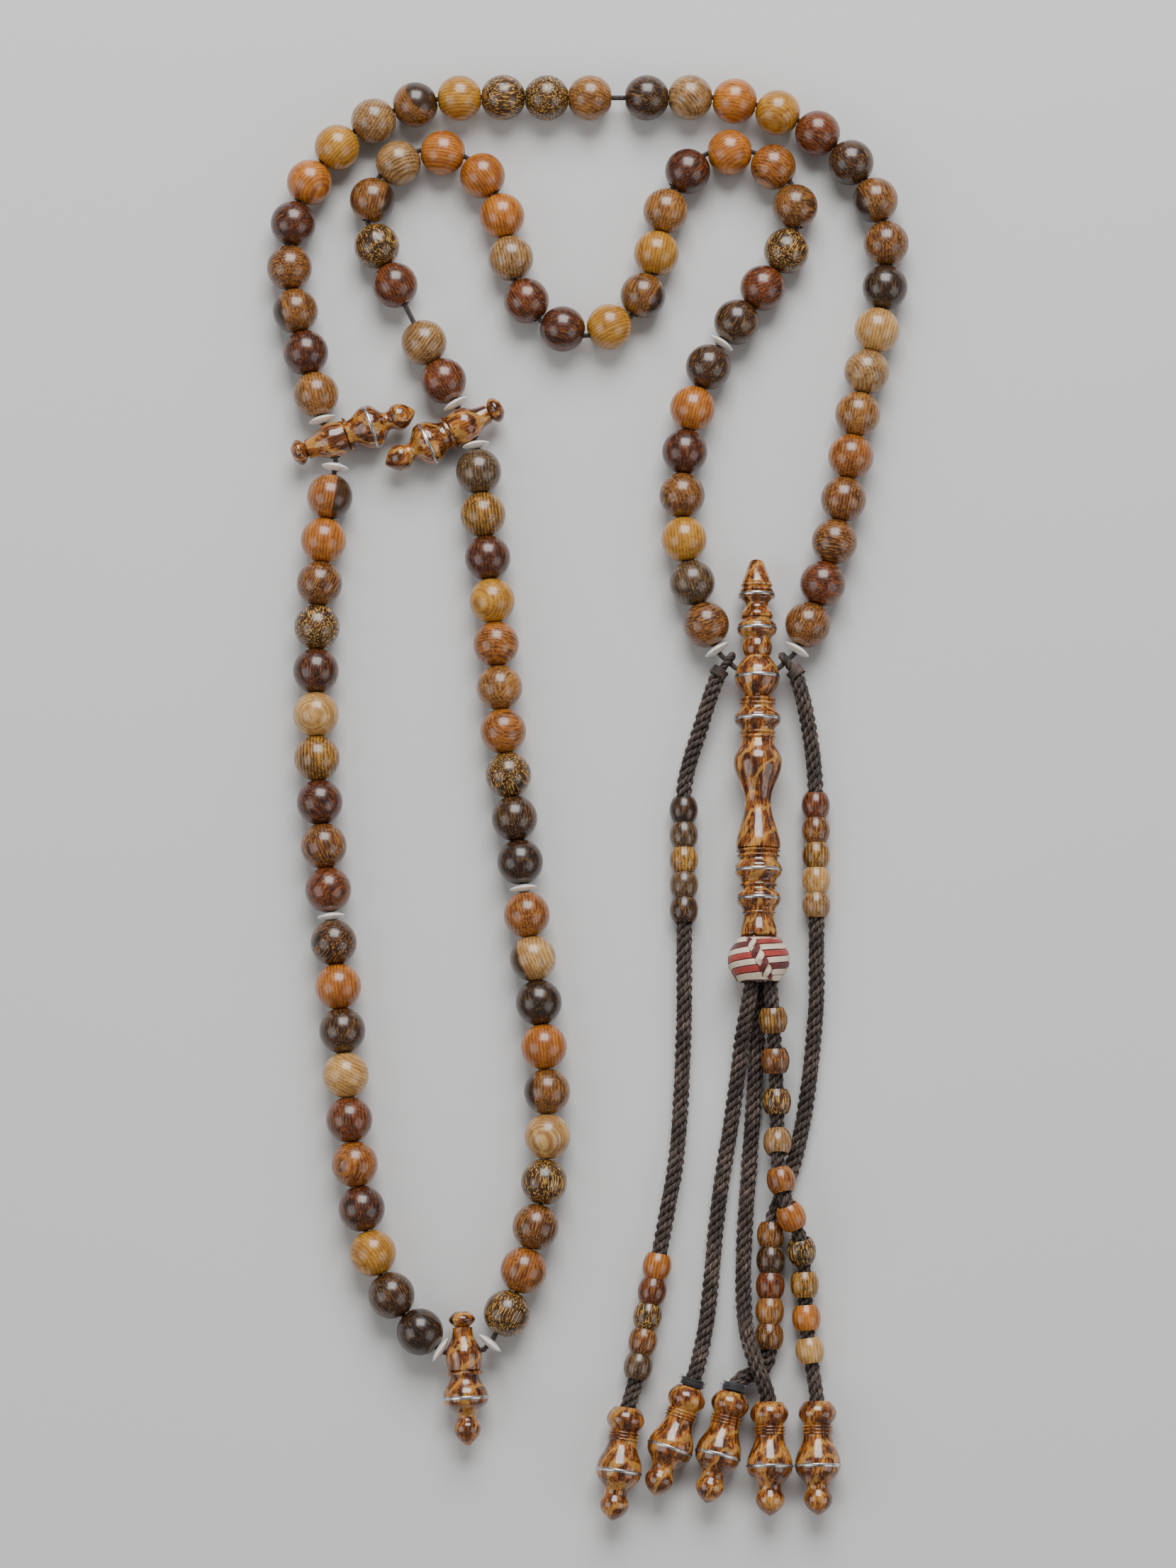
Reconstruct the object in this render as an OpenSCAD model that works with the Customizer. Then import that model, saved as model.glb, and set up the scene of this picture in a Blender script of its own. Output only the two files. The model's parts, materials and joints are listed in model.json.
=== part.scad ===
// Misbaha of one hundred wooden beads, laid flat on a table.
// The string lies in the plane z = bead_d / 2, +Y runs from the tassel to the far arch.

/* [Main beads] */
// Diameter of a main bead
bead_d = 8; // [7.6:0.1:8]
// Bore of a main bead
bead_bore_d = 1.6; // [1.3:0.1:2]

/* [String and spacers] */
// Diameter of the string
string_d = 0.9; // [0.6:0.1:1]
// Diameter of a spacer disc
disc_d = 5; // [4.4:0.1:5.6]

/* [Turned pieces] */
// Bore across the tower and the markers for the string
cross_bore_d = 1.8; // [1.4:0.1:2]
// Bore up the inside of the tower
tower_bore_d = 2.4; // [2.2:0.1:2.6]
// Socket in the end pieces for the cord
socket_d = 3.1; // [3:0.05:3.3]
// Depth of that socket
socket_l = 7.5; // [7:0.1:8]
// Thickness of the silver rings
ring_t = 0.6; // [0.4:0.1:0.8]

/* [Tassel] */
// Diameter of the braided cords
cord_d = 2.7; // [2.2:0.1:2.8]
// Diameter of a counter
counter_d = 5; // [4.6:0.1:5]
// Length of a counter along its bore
counter_l = 4.3; // [4:0.1:4.3]
// Bore of a counter
counter_bore_d = 3; // [2.9:0.05:3.1]
// Diameter of the woven knot
knot_d = 10.8; // [10:0.1:11]
// Height of the woven knot
knot_h = 7.8; // [7.4:0.1:7.8]

/* [Hidden] */
$fn = 48;

// The layout's own origin is moved to the middle of the whole object
middle = [0.86, 30.8, 0];

bead_z = bead_d / 2;
// The string's routes below are cut to length for these, so they aren't for changing
ten = 10;                 // beads between a separator and the middle of its strand
bead_l = 7.6;             // length of a bead along its bore
disc_t = 1.5;             // thickness of a spacer disc at its middle
bead_gap = 0.05;
bend_room = 0.025;        // room after a piece for each degree that the next one is turned from it
tight_room = 0.00015;      // more of it on a tight bend, where a bead is longer than its chord
bend_room_max = 1.6;
eye_d = 3;                // the cord's sewn eye, which the string passes through
eye_l = 3.8;
eye_bore_d = 1.6;
post_half = 3.35;         // from a marker's middle to the spacer beside it
fine_gap = 0.1;

// String routes, [x, y] on the table
tower_mouth_l = [26.6, 51.1];
tower_mouth_r = [34, 51.1];
left_separator_at = [-44.4, 91.2];
right_separator_at = [-20.4, 94.3];
pendant_at = [-20.4, -67];
left_separator_turn = 110;   // direction of the string through the marker
right_separator_turn = 297;
pendant_turn = 3;

inner_route = [right_separator_at, [-21.9, 97.2], [-24, 101], [-26, 105], [-28, 109], [-30, 113],
    [-32, 117], [-34, 121], [-36, 125.2], [-37.8, 129.8], [-37.9, 134.2], [-36.1, 138.5],
    [-32.7, 141.9], [-28.2, 143.6], [-23.6, 143.5], [-19.4, 141.4], [-16.4, 137.9], [-14.6, 133.4],
    [-13.1, 126.6], [-11.4, 117.8], [-6.9, 112.4], [0, 110.1], [6.9, 112.4], [11.4, 117.8],
    [13.1, 126.6], [14.6, 133.4], [16.4, 137.9], [19.4, 141.4], [23.6, 143.5], [28.2, 143.6],
    [32.7, 141.9], [36.1, 138.5], [37.9, 134.2], [37.6, 129], [34.6, 122.8], [30, 116.6],
    [25.2, 110.2], [21.2, 103.4], [18.7, 95.8], [17.6, 88], [17.2, 80.5], [17.6, 72.8], [19, 65.5],
    [20.6, 61], [22.2, 56.6], [23.6, 53.9], [25.2, 52.2], tower_mouth_l];
right_route = [right_separator_at, [-18.9, 91.4], [-18.3, 86.5], [-17.7, 79], [-16.7, 71.2],
    [-15.1, 55], [-13.8, 38.7], [-11.7, 23.6], [-9.6, 7], [-7.5, -8], [-6.1, -23], [-6.6, -38.4],
    [-10.2, -53.4], [-13.3, -61.4], [-16, -65.6], [-17.6, -66.85], pendant_at];
left_route = [pendant_at, [-23.2, -67.15], [-25.1, -66.1], [-28.5, -63.5], [-32.9, -57.6],
    [-36, -50.6], [-37.8, -43.6], [-40.1, -28.6], [-41.3, -13.7], [-42.8, 0.9], [-44.6, 17.1],
    [-46, 31.4], [-46.5, 46.8], [-46.2, 63.4], [-45, 77], [-43.8, 84.2], [-43.3, 88.1],
    left_separator_at];
outer_route = [left_separator_at, [-45.5, 94.3], [-46.8, 99.4], [-48.6, 107], [-50.8, 115],
    [-51.9, 123], [-51.2, 131], [-48, 138.7], [-42, 145.7], [-34, 150.5], [-24, 153], [-12, 153],
    [0, 153], [12, 153], [24, 153], [34.5, 150.5], [43, 145.7], [49.6, 138.7], [53, 131], [53.6, 123],
    [52.4, 114], [50.2, 105.5], [48.2, 97], [46.9, 88.5], [45.5, 80.5], [43.8, 72.9],
    [41.8, 65.4], [40, 61], [38.4, 56.6], [37, 53.9], [35.4, 52.2], tower_mouth_r];

// Cord routes, [x, y, z]
left_eye_at = [25.15, 52.25, 4];
right_eye_at = [35.45, 52.25, 4];
left_eye_turn = -128;
right_eye_turn = -52;
left_cord_route = [[23.75, 50.35, 4], [22.8, 48.2, 3.8], [21.6, 44.6, 3.4], [20.2, 40, 2.9],
    [18.8, 35.8, 2.6], [17.8, 32, 2.5], [17.5, 29.5, 2.5], [17.5, 18, 2.5], [17.5, 5, 2.5],
    [17.5, -8, 2.5], [17.4, -12, 2.2], [17.2, -17, 1.5], [16.9, -24, 1.4], [16.4, -31, 1.7],
    [15.8, -36, 2.5], [13.1, -50.2, 2.5], [10.82, -62.2, 2.5], [8.73, -73.2, 2.5], [8.1, -74.9, 2.95],
    [7.6, -76.5, 3.35], [7.1, -80.1, 3.6]];
right_cord_route = [[36.85, 50.35, 4], [37.6, 48.2, 3.8], [38.6, 44.6, 3.4], [39.4, 40, 2.9],
    [40, 35.8, 2.6], [40.35, 32, 2.5], [40.4, 29.5, 2.5], [40.4, 18, 2.5], [40.4, 5, 2.5],
    [40.4, -5, 2.5], [40.2, -9, 2.1], [39.8, -14, 1.4], [39, -21, 1.4], [38, -27.5, 1.4],
    [36.8, -33, 1.4], [35.3, -37.8, 1.4], [33.7, -41.6, 1.7], [32.4, -44.8, 2.5],
    [31.76, -68.3, 2.5], [31, -69.9, 2.1], [29.4, -70.7, 2.2], [27.5, -71.1, 2.7],
    [26.1, -72.2, 3.2], [25.6, -73.8, 3.35], [24.7, -77.4, 3.6]];
front_cord_route = [[29.05, -3.8, 6], [28.5, -7.5, 5.2], [27.6, -12, 3.6], [27, -17, 2.1],
    [26.4, -22, 1.4], [25.2, -30, 1.4], [23.8, -38.2, 1.4], [22.8, -46, 1.4], [22.1, -54, 1.4],
    [21.2, -62, 1.4], [20.2, -67, 1.8], [19.5, -69.7, 2.6], [18.9, -71.4, 3.2],
    [18.35, -73, 3.35], [17.1, -76.6, 3.6]];
back_cord_route = [[30.6, -3.95, 3.7], [30.5, -8, 2.2], [30.2, -12, 1.4], [29.9, -18, 1.4],
    [29.4, -25, 1.4], [28.7, -34, 1.4], [28, -43, 1.4], [27.6, -50, 1.4], [27.5, -56, 1.4],
    [27.6, -59.5, 1.9], [27.8, -62.2, 3.1], [28.2, -64.8, 4.4], [29.1, -67.8, 5.2], [30.3, -71, 5],
    [31.3, -73.4, 3.9], [31.8, -75.6, 3.35], [31.8, -79.2, 3.6]];
// The counter cord is straight between these points, with a counter at the head of each stretch
counter_cord_route = [[32.15, -3.8, 6], [32.6, -8, 5.4], [33, -14.9, 4.4], [33.3, -21.9, 3.4],
    [33.4, -29, 3.2], [33.5, -35.6, 5], [34.8, -41.9, 5.8], [37.2, -47.6, 4.5],
    [37.9, -53.2, 2.8], [38.1, -58.9, 2.5], [38.5, -64.5, 2.5], [39.5, -71.5, 2.6],
    [39.9, -74, 3], [40, -75.5, 3.35], [40, -79.1, 3.6]];
counters_on_cord = 10;
counter_gap = 0.12;

// Packs of five counters: head of the straight stretch and its direction
pack_count = 5;
pack_pitch = 4.35;
left_upper_head = [17.5, 28.6, 2.5];
left_upper_way = [0, -1, 0];
left_lower_head = [13.1, -50.2, 2.5];
left_lower_way = [-0.1868, -0.9824, 0];
right_upper_head = [40.4, 29.4, 2.5];
right_upper_way = [0, -1, 0];
right_lower_head = [32.4, -44.8, 2.5];
right_lower_way = [-0.02722, -0.99963, 0];

// Tower and knot
tower_at = [30.3, 51.1, bead_z];     // where the string passes through
knot_at = [30.3, 0.1, knot_d / 2];
tower_stretch = 1.03;
tower_l = 64.2 * tower_stretch;
tower_hole = 18.55 * tower_stretch;  // from the tip to the string
tower_tilt = atan((knot_at[2] - tower_at[2]) / (tower_at[1] - knot_at[1]));
tower_rings_at = [[6.05, 3.15], [11.8, 3.42], [20.05, 3.9], [27.3, 4], [53, 4.08], [57.8, 3.8]];
tail_x = 0.58;                       // each end of the string runs down one side of the bore
knot_core_d = 6.4;
knot_core_l = 7;
knot_bore_d = 6.7;

// Markers: the string passes through near the knob
marker_l = 22.9;
marker_hole = 7;
marker_ring_at = [14.7, 3.85];

// Finials: mouth of the socket, and direction on the table
finial_mouths = [[7.6, -76.4, 3.34], [18.35, -73, 3.34], [25.6, -73.8, 3.34], [31.8, -75.4, 3.34],
    [40, -75.3, 3.34]];
finial_turns = [-98, -109, -104, -90, -90];
finial_tilt = 3.8;
finial_stretch = 0.93;
finial_ring_at = [11.7, 3.9];
end_knot_at = 4.3;
end_knot_l = 2.6;
binding_l = 1.6;

wood = [0.5, 0.27, 0.11];
pale_wood = [0.68, 0.42, 0.2];
dark_wood = [0.26, 0.13, 0.07];
figured_wood = [0.55, 0.27, 0.08];
white = [0.93, 0.92, 0.88];
silver = [0.75, 0.75, 0.76];
cord_brown = [0.2, 0.14, 0.12];

// Smooth curve through hand-set points, cut into short straight steps
function spline(p, n = 10) = [
    for (i = [0:len(p) - 2], k = [0:n - 1])
        let (a = p[max(0, i - 1)], b = p[i], c = p[i + 1], d = p[min(len(p) - 1, i + 2)], t = k / n)
        (2 * b + (c - a) * t + (2 * a - 5 * b + 4 * c - d) * t * t
            + (3 * b - a - 3 * c + d) * t * t * t) / 2,
    p[len(p) - 1]];
function running_length(p) = [
    for (i = 0, s = 0; i < len(p); i = i + 1, s = s + (i < len(p) ? norm(p[i] - p[i - 1]) : 0)) s];
function table(p) = let (s = running_length(p))
    [for (k = [0, 1]) [for (i = [0:len(p) - 1]) [s[i], p[i][k]]]];
function table_end(t) = t[0][len(t[0]) - 1][0];
function point_at(t, s) = [lookup(s, t[0]), lookup(s, t[1])];
function heading(t, s) = let (d = point_at(t, s + 0.4) - point_at(t, s - 0.4)) atan2(d[1], d[0]);
function inside(t, s) = max(0.5, min(table_end(t) - 0.5, s));
function turn_between(t, a, b) =
    abs((heading(t, inside(t, b)) - heading(t, inside(t, a)) + 540) % 360 - 180);
function room(t, a, l) = let (turn = turn_between(t, a + l / 2, a + l * 1.5))
    min(bend_room_max, bend_room * turn + tight_room * turn * turn);
// Where each piece of the given lengths begins along the string, and where the last one ends
function stations(t, start, lengths, extra = 0) = [
    for (i = 0, s = start; i <= len(lengths);
        s = s + (i < len(lengths) ? lengths[i] + extra + room(t, s, lengths[i]) : 0), i = i + 1) s];
function last(v) = v[len(v) - 1];
function filled(t, start, lengths, finish) =
    let (spare = finish - last(stations(t, start, lengths)))
    stations(t, start, lengths, spare / len(lengths));
function repeated(value, count) = [for (i = [1:1:count]) value];
function reversed(v) = [for (i = [len(v) - 1:-1:0]) v[i]];
function raised(p, z) = [for (q = p) [q[0], q[1], z]];

bead_step = bead_l + bead_gap;
disc_step = disc_t + fine_gap;
inner_table = table(spline(inner_route));
inner_back = table(spline(reversed(inner_route)));
right_table = table(spline(right_route));
left_table = table(spline(left_route));
outer_table = table(spline(outer_route));
outer_back = table(spline(reversed(outer_route)));

// Inner arch: one bead beside the separator, the sliding bead, then the rest from the tower
seven = 7;
inner_rest = 21;
inner_low = stations(inner_table, post_half, [disc_step, bead_step]);
inner_lengths = concat([eye_d + fine_gap, disc_step], repeated(bead_step, seven), [disc_step],
    repeated(bead_step, inner_rest));
inner_high = stations(inner_back, fine_gap + 0.2, inner_lengths);
strand_pieces = concat([disc_step], repeated(bead_step, ten), [disc_step],
    repeated(bead_step, ten), [disc_step]);
right_all = filled(right_table, post_half, strand_pieces, table_end(right_table) - post_half);
left_all = filled(left_table, post_half, strand_pieces, table_end(left_table) - post_half);
outer_left_count = 12;
outer_right_count = 17;
outer_low = stations(outer_table, post_half, concat([disc_step], repeated(bead_step, outer_left_count)));
outer_high = stations(outer_back, fine_gap + 0.2,
    concat([eye_d + fine_gap, disc_step], repeated(bead_step, outer_right_count)));

// Where a counter sits at the head of a straight stretch
function way(a, b) = (b - a) / norm(b - a);
function counter_centre(i) =
    let (a = counter_cord_route[i], b = counter_cord_route[i + 1])
    a + way(a, b) * (counter_l / 2 + counter_gap);

string_points = concat(
    [[tower_at[0] - tail_x, tower_at[1] - 1]],
    [tower_at - [1.15, 0.1, 0]],
    [tower_mouth_l],
    [for (i = [0:len(inner_high) - 2], end = [0, 1])
        point_at(inner_back, inner_high[i] + end * inner_lengths[i])],
    [point_at(inner_back, last(inner_high))],
    [for (s = reversed(inner_low)) point_at(inner_table, s)],
    [right_separator_at],
    [for (s = right_all) point_at(right_table, s)],
    [pendant_at],
    [for (s = left_all) point_at(left_table, s)],
    [left_separator_at],
    [for (s = outer_low) point_at(outer_table, s)],
    [for (s = reversed(outer_high)) point_at(outer_back, s)],
    [tower_mouth_r],
    [tower_at + [1.15, -0.1, 0]],
    [[tower_at[0] + tail_x, tower_at[1] - 1]]);
function tail_end(side) = tower_at + [side * tail_x,
    knot_at[1] + knot_core_l / 2 + 0.15 - tower_at[1],
    (tower_at[1] - knot_at[1] - knot_core_l / 2) * tan(tower_tilt)];
string_path = concat([tail_end(-1)], raised(string_points, bead_z), [tail_end(1)]);

// A round tube swept along points, each ring square to the run of its neighbours
module swept_tube(p, d, sides = 8) {
    n = len(p);
    rings = [for (i = [0:n - 1])
        let (t = way(p[max(0, i - 1)], p[min(n - 1, i + 1)]),
            u = way([0, 0, 0], cross([0, 0, 1], t)),
            v = cross(t, u))
        for (k = [0:sides - 1]) p[i] + d / 2 * (u * cos(360 * k / sides) + v * sin(360 * k / sides))];
    walls = [for (i = [0:n - 2], k = [0:sides - 1])
        let (a = i * sides + k, b = i * sides + (k + 1) % sides)
        [a + sides, b + sides, b, a]];
    start_cap = [for (k = [0:sides - 1]) k];
    end_cap = [for (k = [sides - 1:-1:0]) (n - 1) * sides + k];
    polyhedron(rings, concat([start_cap, end_cap], walls));
}

// Places
module on_table() translate(-middle) children();
module along(a, b, z = bead_z) {
    translate([(a[0] + b[0]) / 2, (a[1] + b[1]) / 2, z])
        rotate([0, 90, atan2(b[1] - a[1], b[0] - a[0])]) children();
}
module on_string(t, start, l) along(point_at(t, start), point_at(t, start + l)) children();
module pointing(at, v) {
    translate(at) rotate([0, acos(v[2] / norm(v)), atan2(v[1], v[0])]) children();
}

// Single pieces
module bead() {
    rotate_extrude() intersection() {
        circle(d = bead_d, $fn = 64);
        translate([bead_bore_d / 2, -bead_l / 2]) square([bead_d, bead_l]);
    }
}
module disc() {
    lens_r = (pow(disc_d / 2, 2) + pow(disc_t / 2, 2)) / disc_t;
    difference() {
        intersection() {
            translate([0, 0, disc_t / 2 - lens_r]) sphere(r = lens_r, $fn = 96);
            translate([0, 0, lens_r - disc_t / 2]) sphere(r = lens_r, $fn = 96);
            cylinder(d = disc_d - 0.3, h = disc_t, center = true);
        }
        cylinder(d = string_d + 0.4, h = disc_t + 1, center = true);
    }
}
module counter() {
    flat_d = 3.6;
    rise = (counter_d - flat_d) / 2;
    r = (pow(counter_l / 2, 2) + pow(rise, 2)) / (2 * rise);
    difference() {
        rotate_extrude() intersection() {
            translate([counter_d / 2 - r, 0]) circle(r = r, $fn = 64);
            translate([0, -counter_l / 2]) square([counter_d, counter_l]);
        }
        cylinder(d = counter_bore_d, h = counter_l + 1, center = true);
    }
}
function bulge(z0, z1, re, rm, n = 6) = [for (k = [0:n])
    [re + (rm - re) * sin(180 * k / n), z0 + (z1 - z0) * k / n]];
function eased(z0, r0, z1, r1, n = 5) = [for (k = [0:n])
    [r0 + (r1 - r0) * (1 - cos(180 * k / n)) / 2, z0 + (z1 - z0) * k / n]];
function stretched(outline, f) = [for (q = outline) [q[0], q[1] * f]];
module ring(at, stretch) {
    translate([0, 0, at[0] * stretch - ring_t / 2]) difference() {
        cylinder(r = at[1] + 0.12, h = ring_t);
        translate([0, 0, -1]) cylinder(r = at[1] - 0.2, h = ring_t + 2);
    }
}
module ring_seat(at, stretch) {
    seat_t = ring_t + 0.06;
    translate([0, 0, at[0] * stretch - seat_t / 2]) difference() {
        cylinder(r = at[1] + 2, h = seat_t);
        translate([0, 0, -1]) cylinder(r = at[1] - 0.25, h = seat_t + 2);
    }
}

// Tower, from its tip at z = 0
tower_outline = concat([[0, 0], [0.95, 0], [1.25, 0.3], [2.6, 3.9]],
    bulge(4.0, 4.75, 2.5, 2.8, 4), bulge(4.85, 5.55, 2.55, 2.9, 4),
    [[3.15, 5.6], [3.15, 6.5]], eased(6.6, 2.75, 7.6, 2.05, 4), eased(7.8, 2.05, 9.5, 2.85),
    [[2.95, 9.6], [2.95, 9.9]], eased(10, 2.65, 11.3, 3.42, 4), [[3.42, 12.3]],
    eased(12.4, 3.34, 13.7, 2.35), bulge(13.8, 16.3, 2.35, 2.68), bulge(16.5, 23.6, 2.2, 3.93, 14),
    bulge(23.7, 24.35, 2.95, 3.3, 4), bulge(24.4, 25.1, 2.95, 3.3, 4),
    eased(25.3, 2.95, 26.9, 4, 4), [[4, 27.7]], eased(27.8, 3.95, 29.1, 3, 4),
    bulge(29.3, 30, 2.9, 3.25, 4), bulge(30.05, 30.8, 2.9, 3.25, 4),
    eased(30.9, 2.95, 34.5, 4.25, 7), eased(34.7, 4.25, 41.4, 2.35, 9), eased(41.6, 2.35, 48.9, 3.88, 8),
    [[3.88, 49.3]], bulge(49.4, 50.1, 3.5, 3.9, 4), bulge(50.2, 51, 3.4, 3.8, 4),
    eased(51.1, 3.4, 52.5, 4.08, 4), [[4.08, 53.5]], eased(53.6, 4, 54.9, 3.1, 4),
    bulge(55, 56, 2.95, 3.35, 4), eased(56.1, 3, 57.3, 3.8, 4), [[3.8, 58.3]],
    eased(58.4, 3.7, 59.8, 2.85, 4), bulge(59.9, 60.5, 2.75, 3, 4),
    eased(60.6, 2.65, 63.6, 3.25, 5), [[3.25, 63.95], [3, 64.2], [0, 64.2]]);
module tower_place() {
    translate(tower_at) rotate([90 - tower_tilt, 0, 0]) translate([0, 0, -tower_hole]) children();
}
module turned_tower() {
    difference() {
        rotate_extrude() polygon(stretched(tower_outline, tower_stretch));
        translate([0, 0, tower_hole - 2]) cylinder(d = tower_bore_d, h = tower_l);
        translate([0, 0, tower_hole]) rotate([0, 90, 0])
            cylinder(d = cross_bore_d, h = 12, center = true);
        for (at = tower_rings_at) ring_seat(at, tower_stretch);
    }
}

// Marker, from its knob at z = 0
marker_outline = concat([[0, 0], [0.5, 0]], bulge(0.1, 2.7, 1.2, 2.3), eased(2.8, 1.7, 3.6, 1.75, 2),
    eased(3.8, 1.8, 7.3, 3.15, 6), eased(7.5, 3.15, 9.9, 2.85), [[2.6, 10.15], [3.15, 10.35],
    [3.15, 10.8], [2.45, 11]], eased(11.2, 2.5, 14.2, 3.87, 6), [[3.87, 15.2]],
    eased(15.3, 3.83, 17.8, 1.62, 6), eased(18, 1.62, 19.6, 2.35), [[2.32, 20.3], [2.08, 21],
    [1.65, 21.6], [1.05, 22.2], [0.5, 22.65], [0, marker_l]]);
module marker_place(at, turn) {
    translate([at[0], at[1], bead_z]) rotate([0, 0, turn]) rotate([90, 0, 0])
        translate([0, 0, -marker_hole]) children();
}
module turned_marker() {
    difference() {
        rotate_extrude() polygon(marker_outline);
        translate([0, 0, marker_hole]) rotate([0, 90, 0])
            cylinder(d = cross_bore_d, h = 12, center = true);
        ring_seat(marker_ring_at, 1);
    }
}

// Finial, from its mouth at z = 0
finial_outline = concat([[0, 0], [2, 0]], bulge(0.1, 4.3, 2.3, 3.3, 8), bulge(4.35, 4.9, 2.5, 2.75, 4),
    bulge(4.95, 5.5, 2.5, 2.75, 4), bulge(5.55, 6.1, 2.5, 2.75, 4), eased(6.2, 2.5, 11.2, 3.9, 8),
    [[3.9, 12.2]], eased(12.3, 3.85, 15.7, 1.98, 7), eased(15.9, 1.98, 17.5, 2.5),
    [[2.45, 18.2], [2.2, 18.9], [1.75, 19.55], [1.1, 20.1], [0.5, 20.5], [0, 20.7]]);
module finial_place(i) {
    translate(finial_mouths[i]) rotate([0, 90 - finial_tilt, finial_turns[i]]) children();
}
module turned_finial() {
    difference() {
        rotate_extrude() polygon(stretched(finial_outline, finial_stretch));
        translate([0, 0, -1]) cylinder(d = socket_d, h = socket_l + 1);
        ring_seat(finial_ring_at, finial_stretch);
    }
}

// Groups
module beads_on(t, stops, first, count) {
    for (i = [first:1:first + count - 1]) on_string(t, stops[i], bead_l) bead();
}
module counter_pack(head, v) {
    for (i = [0:1:pack_count - 1]) pointing(head + v * pack_pitch * (i + 0.5), v) counter();
}
module cord_eye(at, turn) {
    translate(at) rotate([0, 90, turn]) difference() {
        cylinder(d = eye_d, h = eye_l, center = true);
        rotate([90, 0, 0]) cylinder(d = eye_bore_d, h = eye_d + 1, center = true);
    }
}

module main_string() on_table() color(dark_wood) swept_tube(string_path, string_d);
module tower_left_seven_beads() on_table() color(wood) beads_on(inner_back, inner_high, 2, seven);
module inner_arch_beads() on_table() color(wood) beads_on(inner_back, inner_high, 3 + seven, inner_rest);
module inner_sliding_bead() {
    on_table() color(pale_wood) on_string(inner_table, last(inner_low), bead_l) bead();
}
module right_separator_bead() on_table() color(dark_wood) beads_on(inner_table, inner_low, 1, 1);
module right_strand_upper_ten() on_table() color(wood) beads_on(right_table, right_all, 1, ten);
module right_strand_lower_ten() on_table() color(pale_wood) beads_on(right_table, right_all, 2 + ten, ten);
module left_strand_lower_ten() on_table() color(wood) beads_on(left_table, left_all, 1, ten);
module left_strand_upper_ten() on_table() color(dark_wood) beads_on(left_table, left_all, 2 + ten, ten);
module outer_arch_left_beads() on_table() color(wood) beads_on(outer_table, outer_low, 1, outer_left_count);
module outer_sliding_bead() {
    on_table() color(pale_wood) on_string(outer_table, last(outer_low), bead_l) bead();
}
module outer_arch_right_beads() {
    on_table() color(wood) beads_on(outer_back, outer_high, 2, outer_right_count);
}
module spacer_discs() on_table() color(white) {
    on_string(inner_table, inner_low[0], disc_t) disc();
    for (i = [1, 2 + seven]) on_string(inner_back, inner_high[i], disc_t) disc();
    for (i = [0, 1 + ten, 2 + 2 * ten]) {
        on_string(right_table, right_all[i], disc_t) disc();
        on_string(left_table, left_all[i], disc_t) disc();
    }
    on_string(outer_table, outer_low[0], disc_t) disc();
    on_string(outer_back, outer_high[1], disc_t) disc();
}
module tower() on_table() color(figured_wood) tower_place() turned_tower();
module tower_rings() on_table() color(silver) tower_place() {
    for (at = tower_rings_at) ring(at, tower_stretch);
}
module woven_knot() on_table() color([0.65, 0.2, 0.2]) translate(knot_at) rotate([90, 0, 0]) difference() {
    rotate_extrude() polygon(concat([[0, -knot_h / 2]], bulge(-knot_h / 2, knot_h / 2, 3.7, knot_d / 2, 12),
        [[0, knot_h / 2]]));
    cylinder(d = knot_bore_d, h = knot_h + 1, center = true);
}
module knot_core() on_table() color(cord_brown) translate(knot_at) rotate([90, 0, 0])
    cylinder(d = knot_core_d, h = knot_core_l, center = true);
module left_separator() {
    on_table() color(figured_wood) marker_place(left_separator_at, left_separator_turn) turned_marker();
}
module left_separator_ring() {
    on_table() color(silver) marker_place(left_separator_at, left_separator_turn) ring(marker_ring_at, 1);
}
module right_separator() {
    on_table() color(figured_wood) marker_place(right_separator_at, right_separator_turn) turned_marker();
}
module right_separator_ring() {
    on_table() color(silver) marker_place(right_separator_at, right_separator_turn) ring(marker_ring_at, 1);
}
module pendant() on_table() color(figured_wood) marker_place(pendant_at, pendant_turn) turned_marker();
module pendant_ring() on_table() color(silver) marker_place(pendant_at, pendant_turn) ring(marker_ring_at, 1);
module left_side_cord() on_table() color(cord_brown) swept_tube(left_cord_route, cord_d);
module right_side_cord() on_table() color(cord_brown) swept_tube(right_cord_route, cord_d);
module front_cord() on_table() color(cord_brown) swept_tube(front_cord_route, cord_d);
module back_cord() on_table() color(cord_brown) swept_tube(back_cord_route, cord_d);
module counter_cord() on_table() color(cord_brown) swept_tube(counter_cord_route, cord_d);
module left_cord_eye() on_table() color(cord_brown) cord_eye(left_eye_at, left_eye_turn);
module right_cord_eye() on_table() color(cord_brown) cord_eye(right_eye_at, right_eye_turn);
module counter_on_cord(i) {
    on_table() color(i % 2 == 0 ? pale_wood : wood)
        pointing(counter_centre(i), way(counter_cord_route[i], counter_cord_route[i + 1])) counter();
}
module left_upper_counters() on_table() color(wood) counter_pack(left_upper_head, left_upper_way);
module left_lower_counters() on_table() color(pale_wood) counter_pack(left_lower_head, left_lower_way);
module right_upper_counters() on_table() color(pale_wood) counter_pack(right_upper_head, right_upper_way);
module right_lower_counters() on_table() color(wood) counter_pack(right_lower_head, right_lower_way);
module finial(i) on_table() color(figured_wood) finial_place(i - 1) turned_finial();
module finial_ring(i) on_table() color(silver) finial_place(i - 1) ring(finial_ring_at, finial_stretch);
module end_knot(i) {
    finial_place(i) translate([0, 0, end_knot_at]) cylinder(d = cord_d - 0.1, h = end_knot_l);
}
module cord_end_knots() on_table() color(cord_brown) for (i = [1:4]) end_knot(i);
module left_cord_end_knot() on_table() color(cord_brown) end_knot(0);
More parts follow.
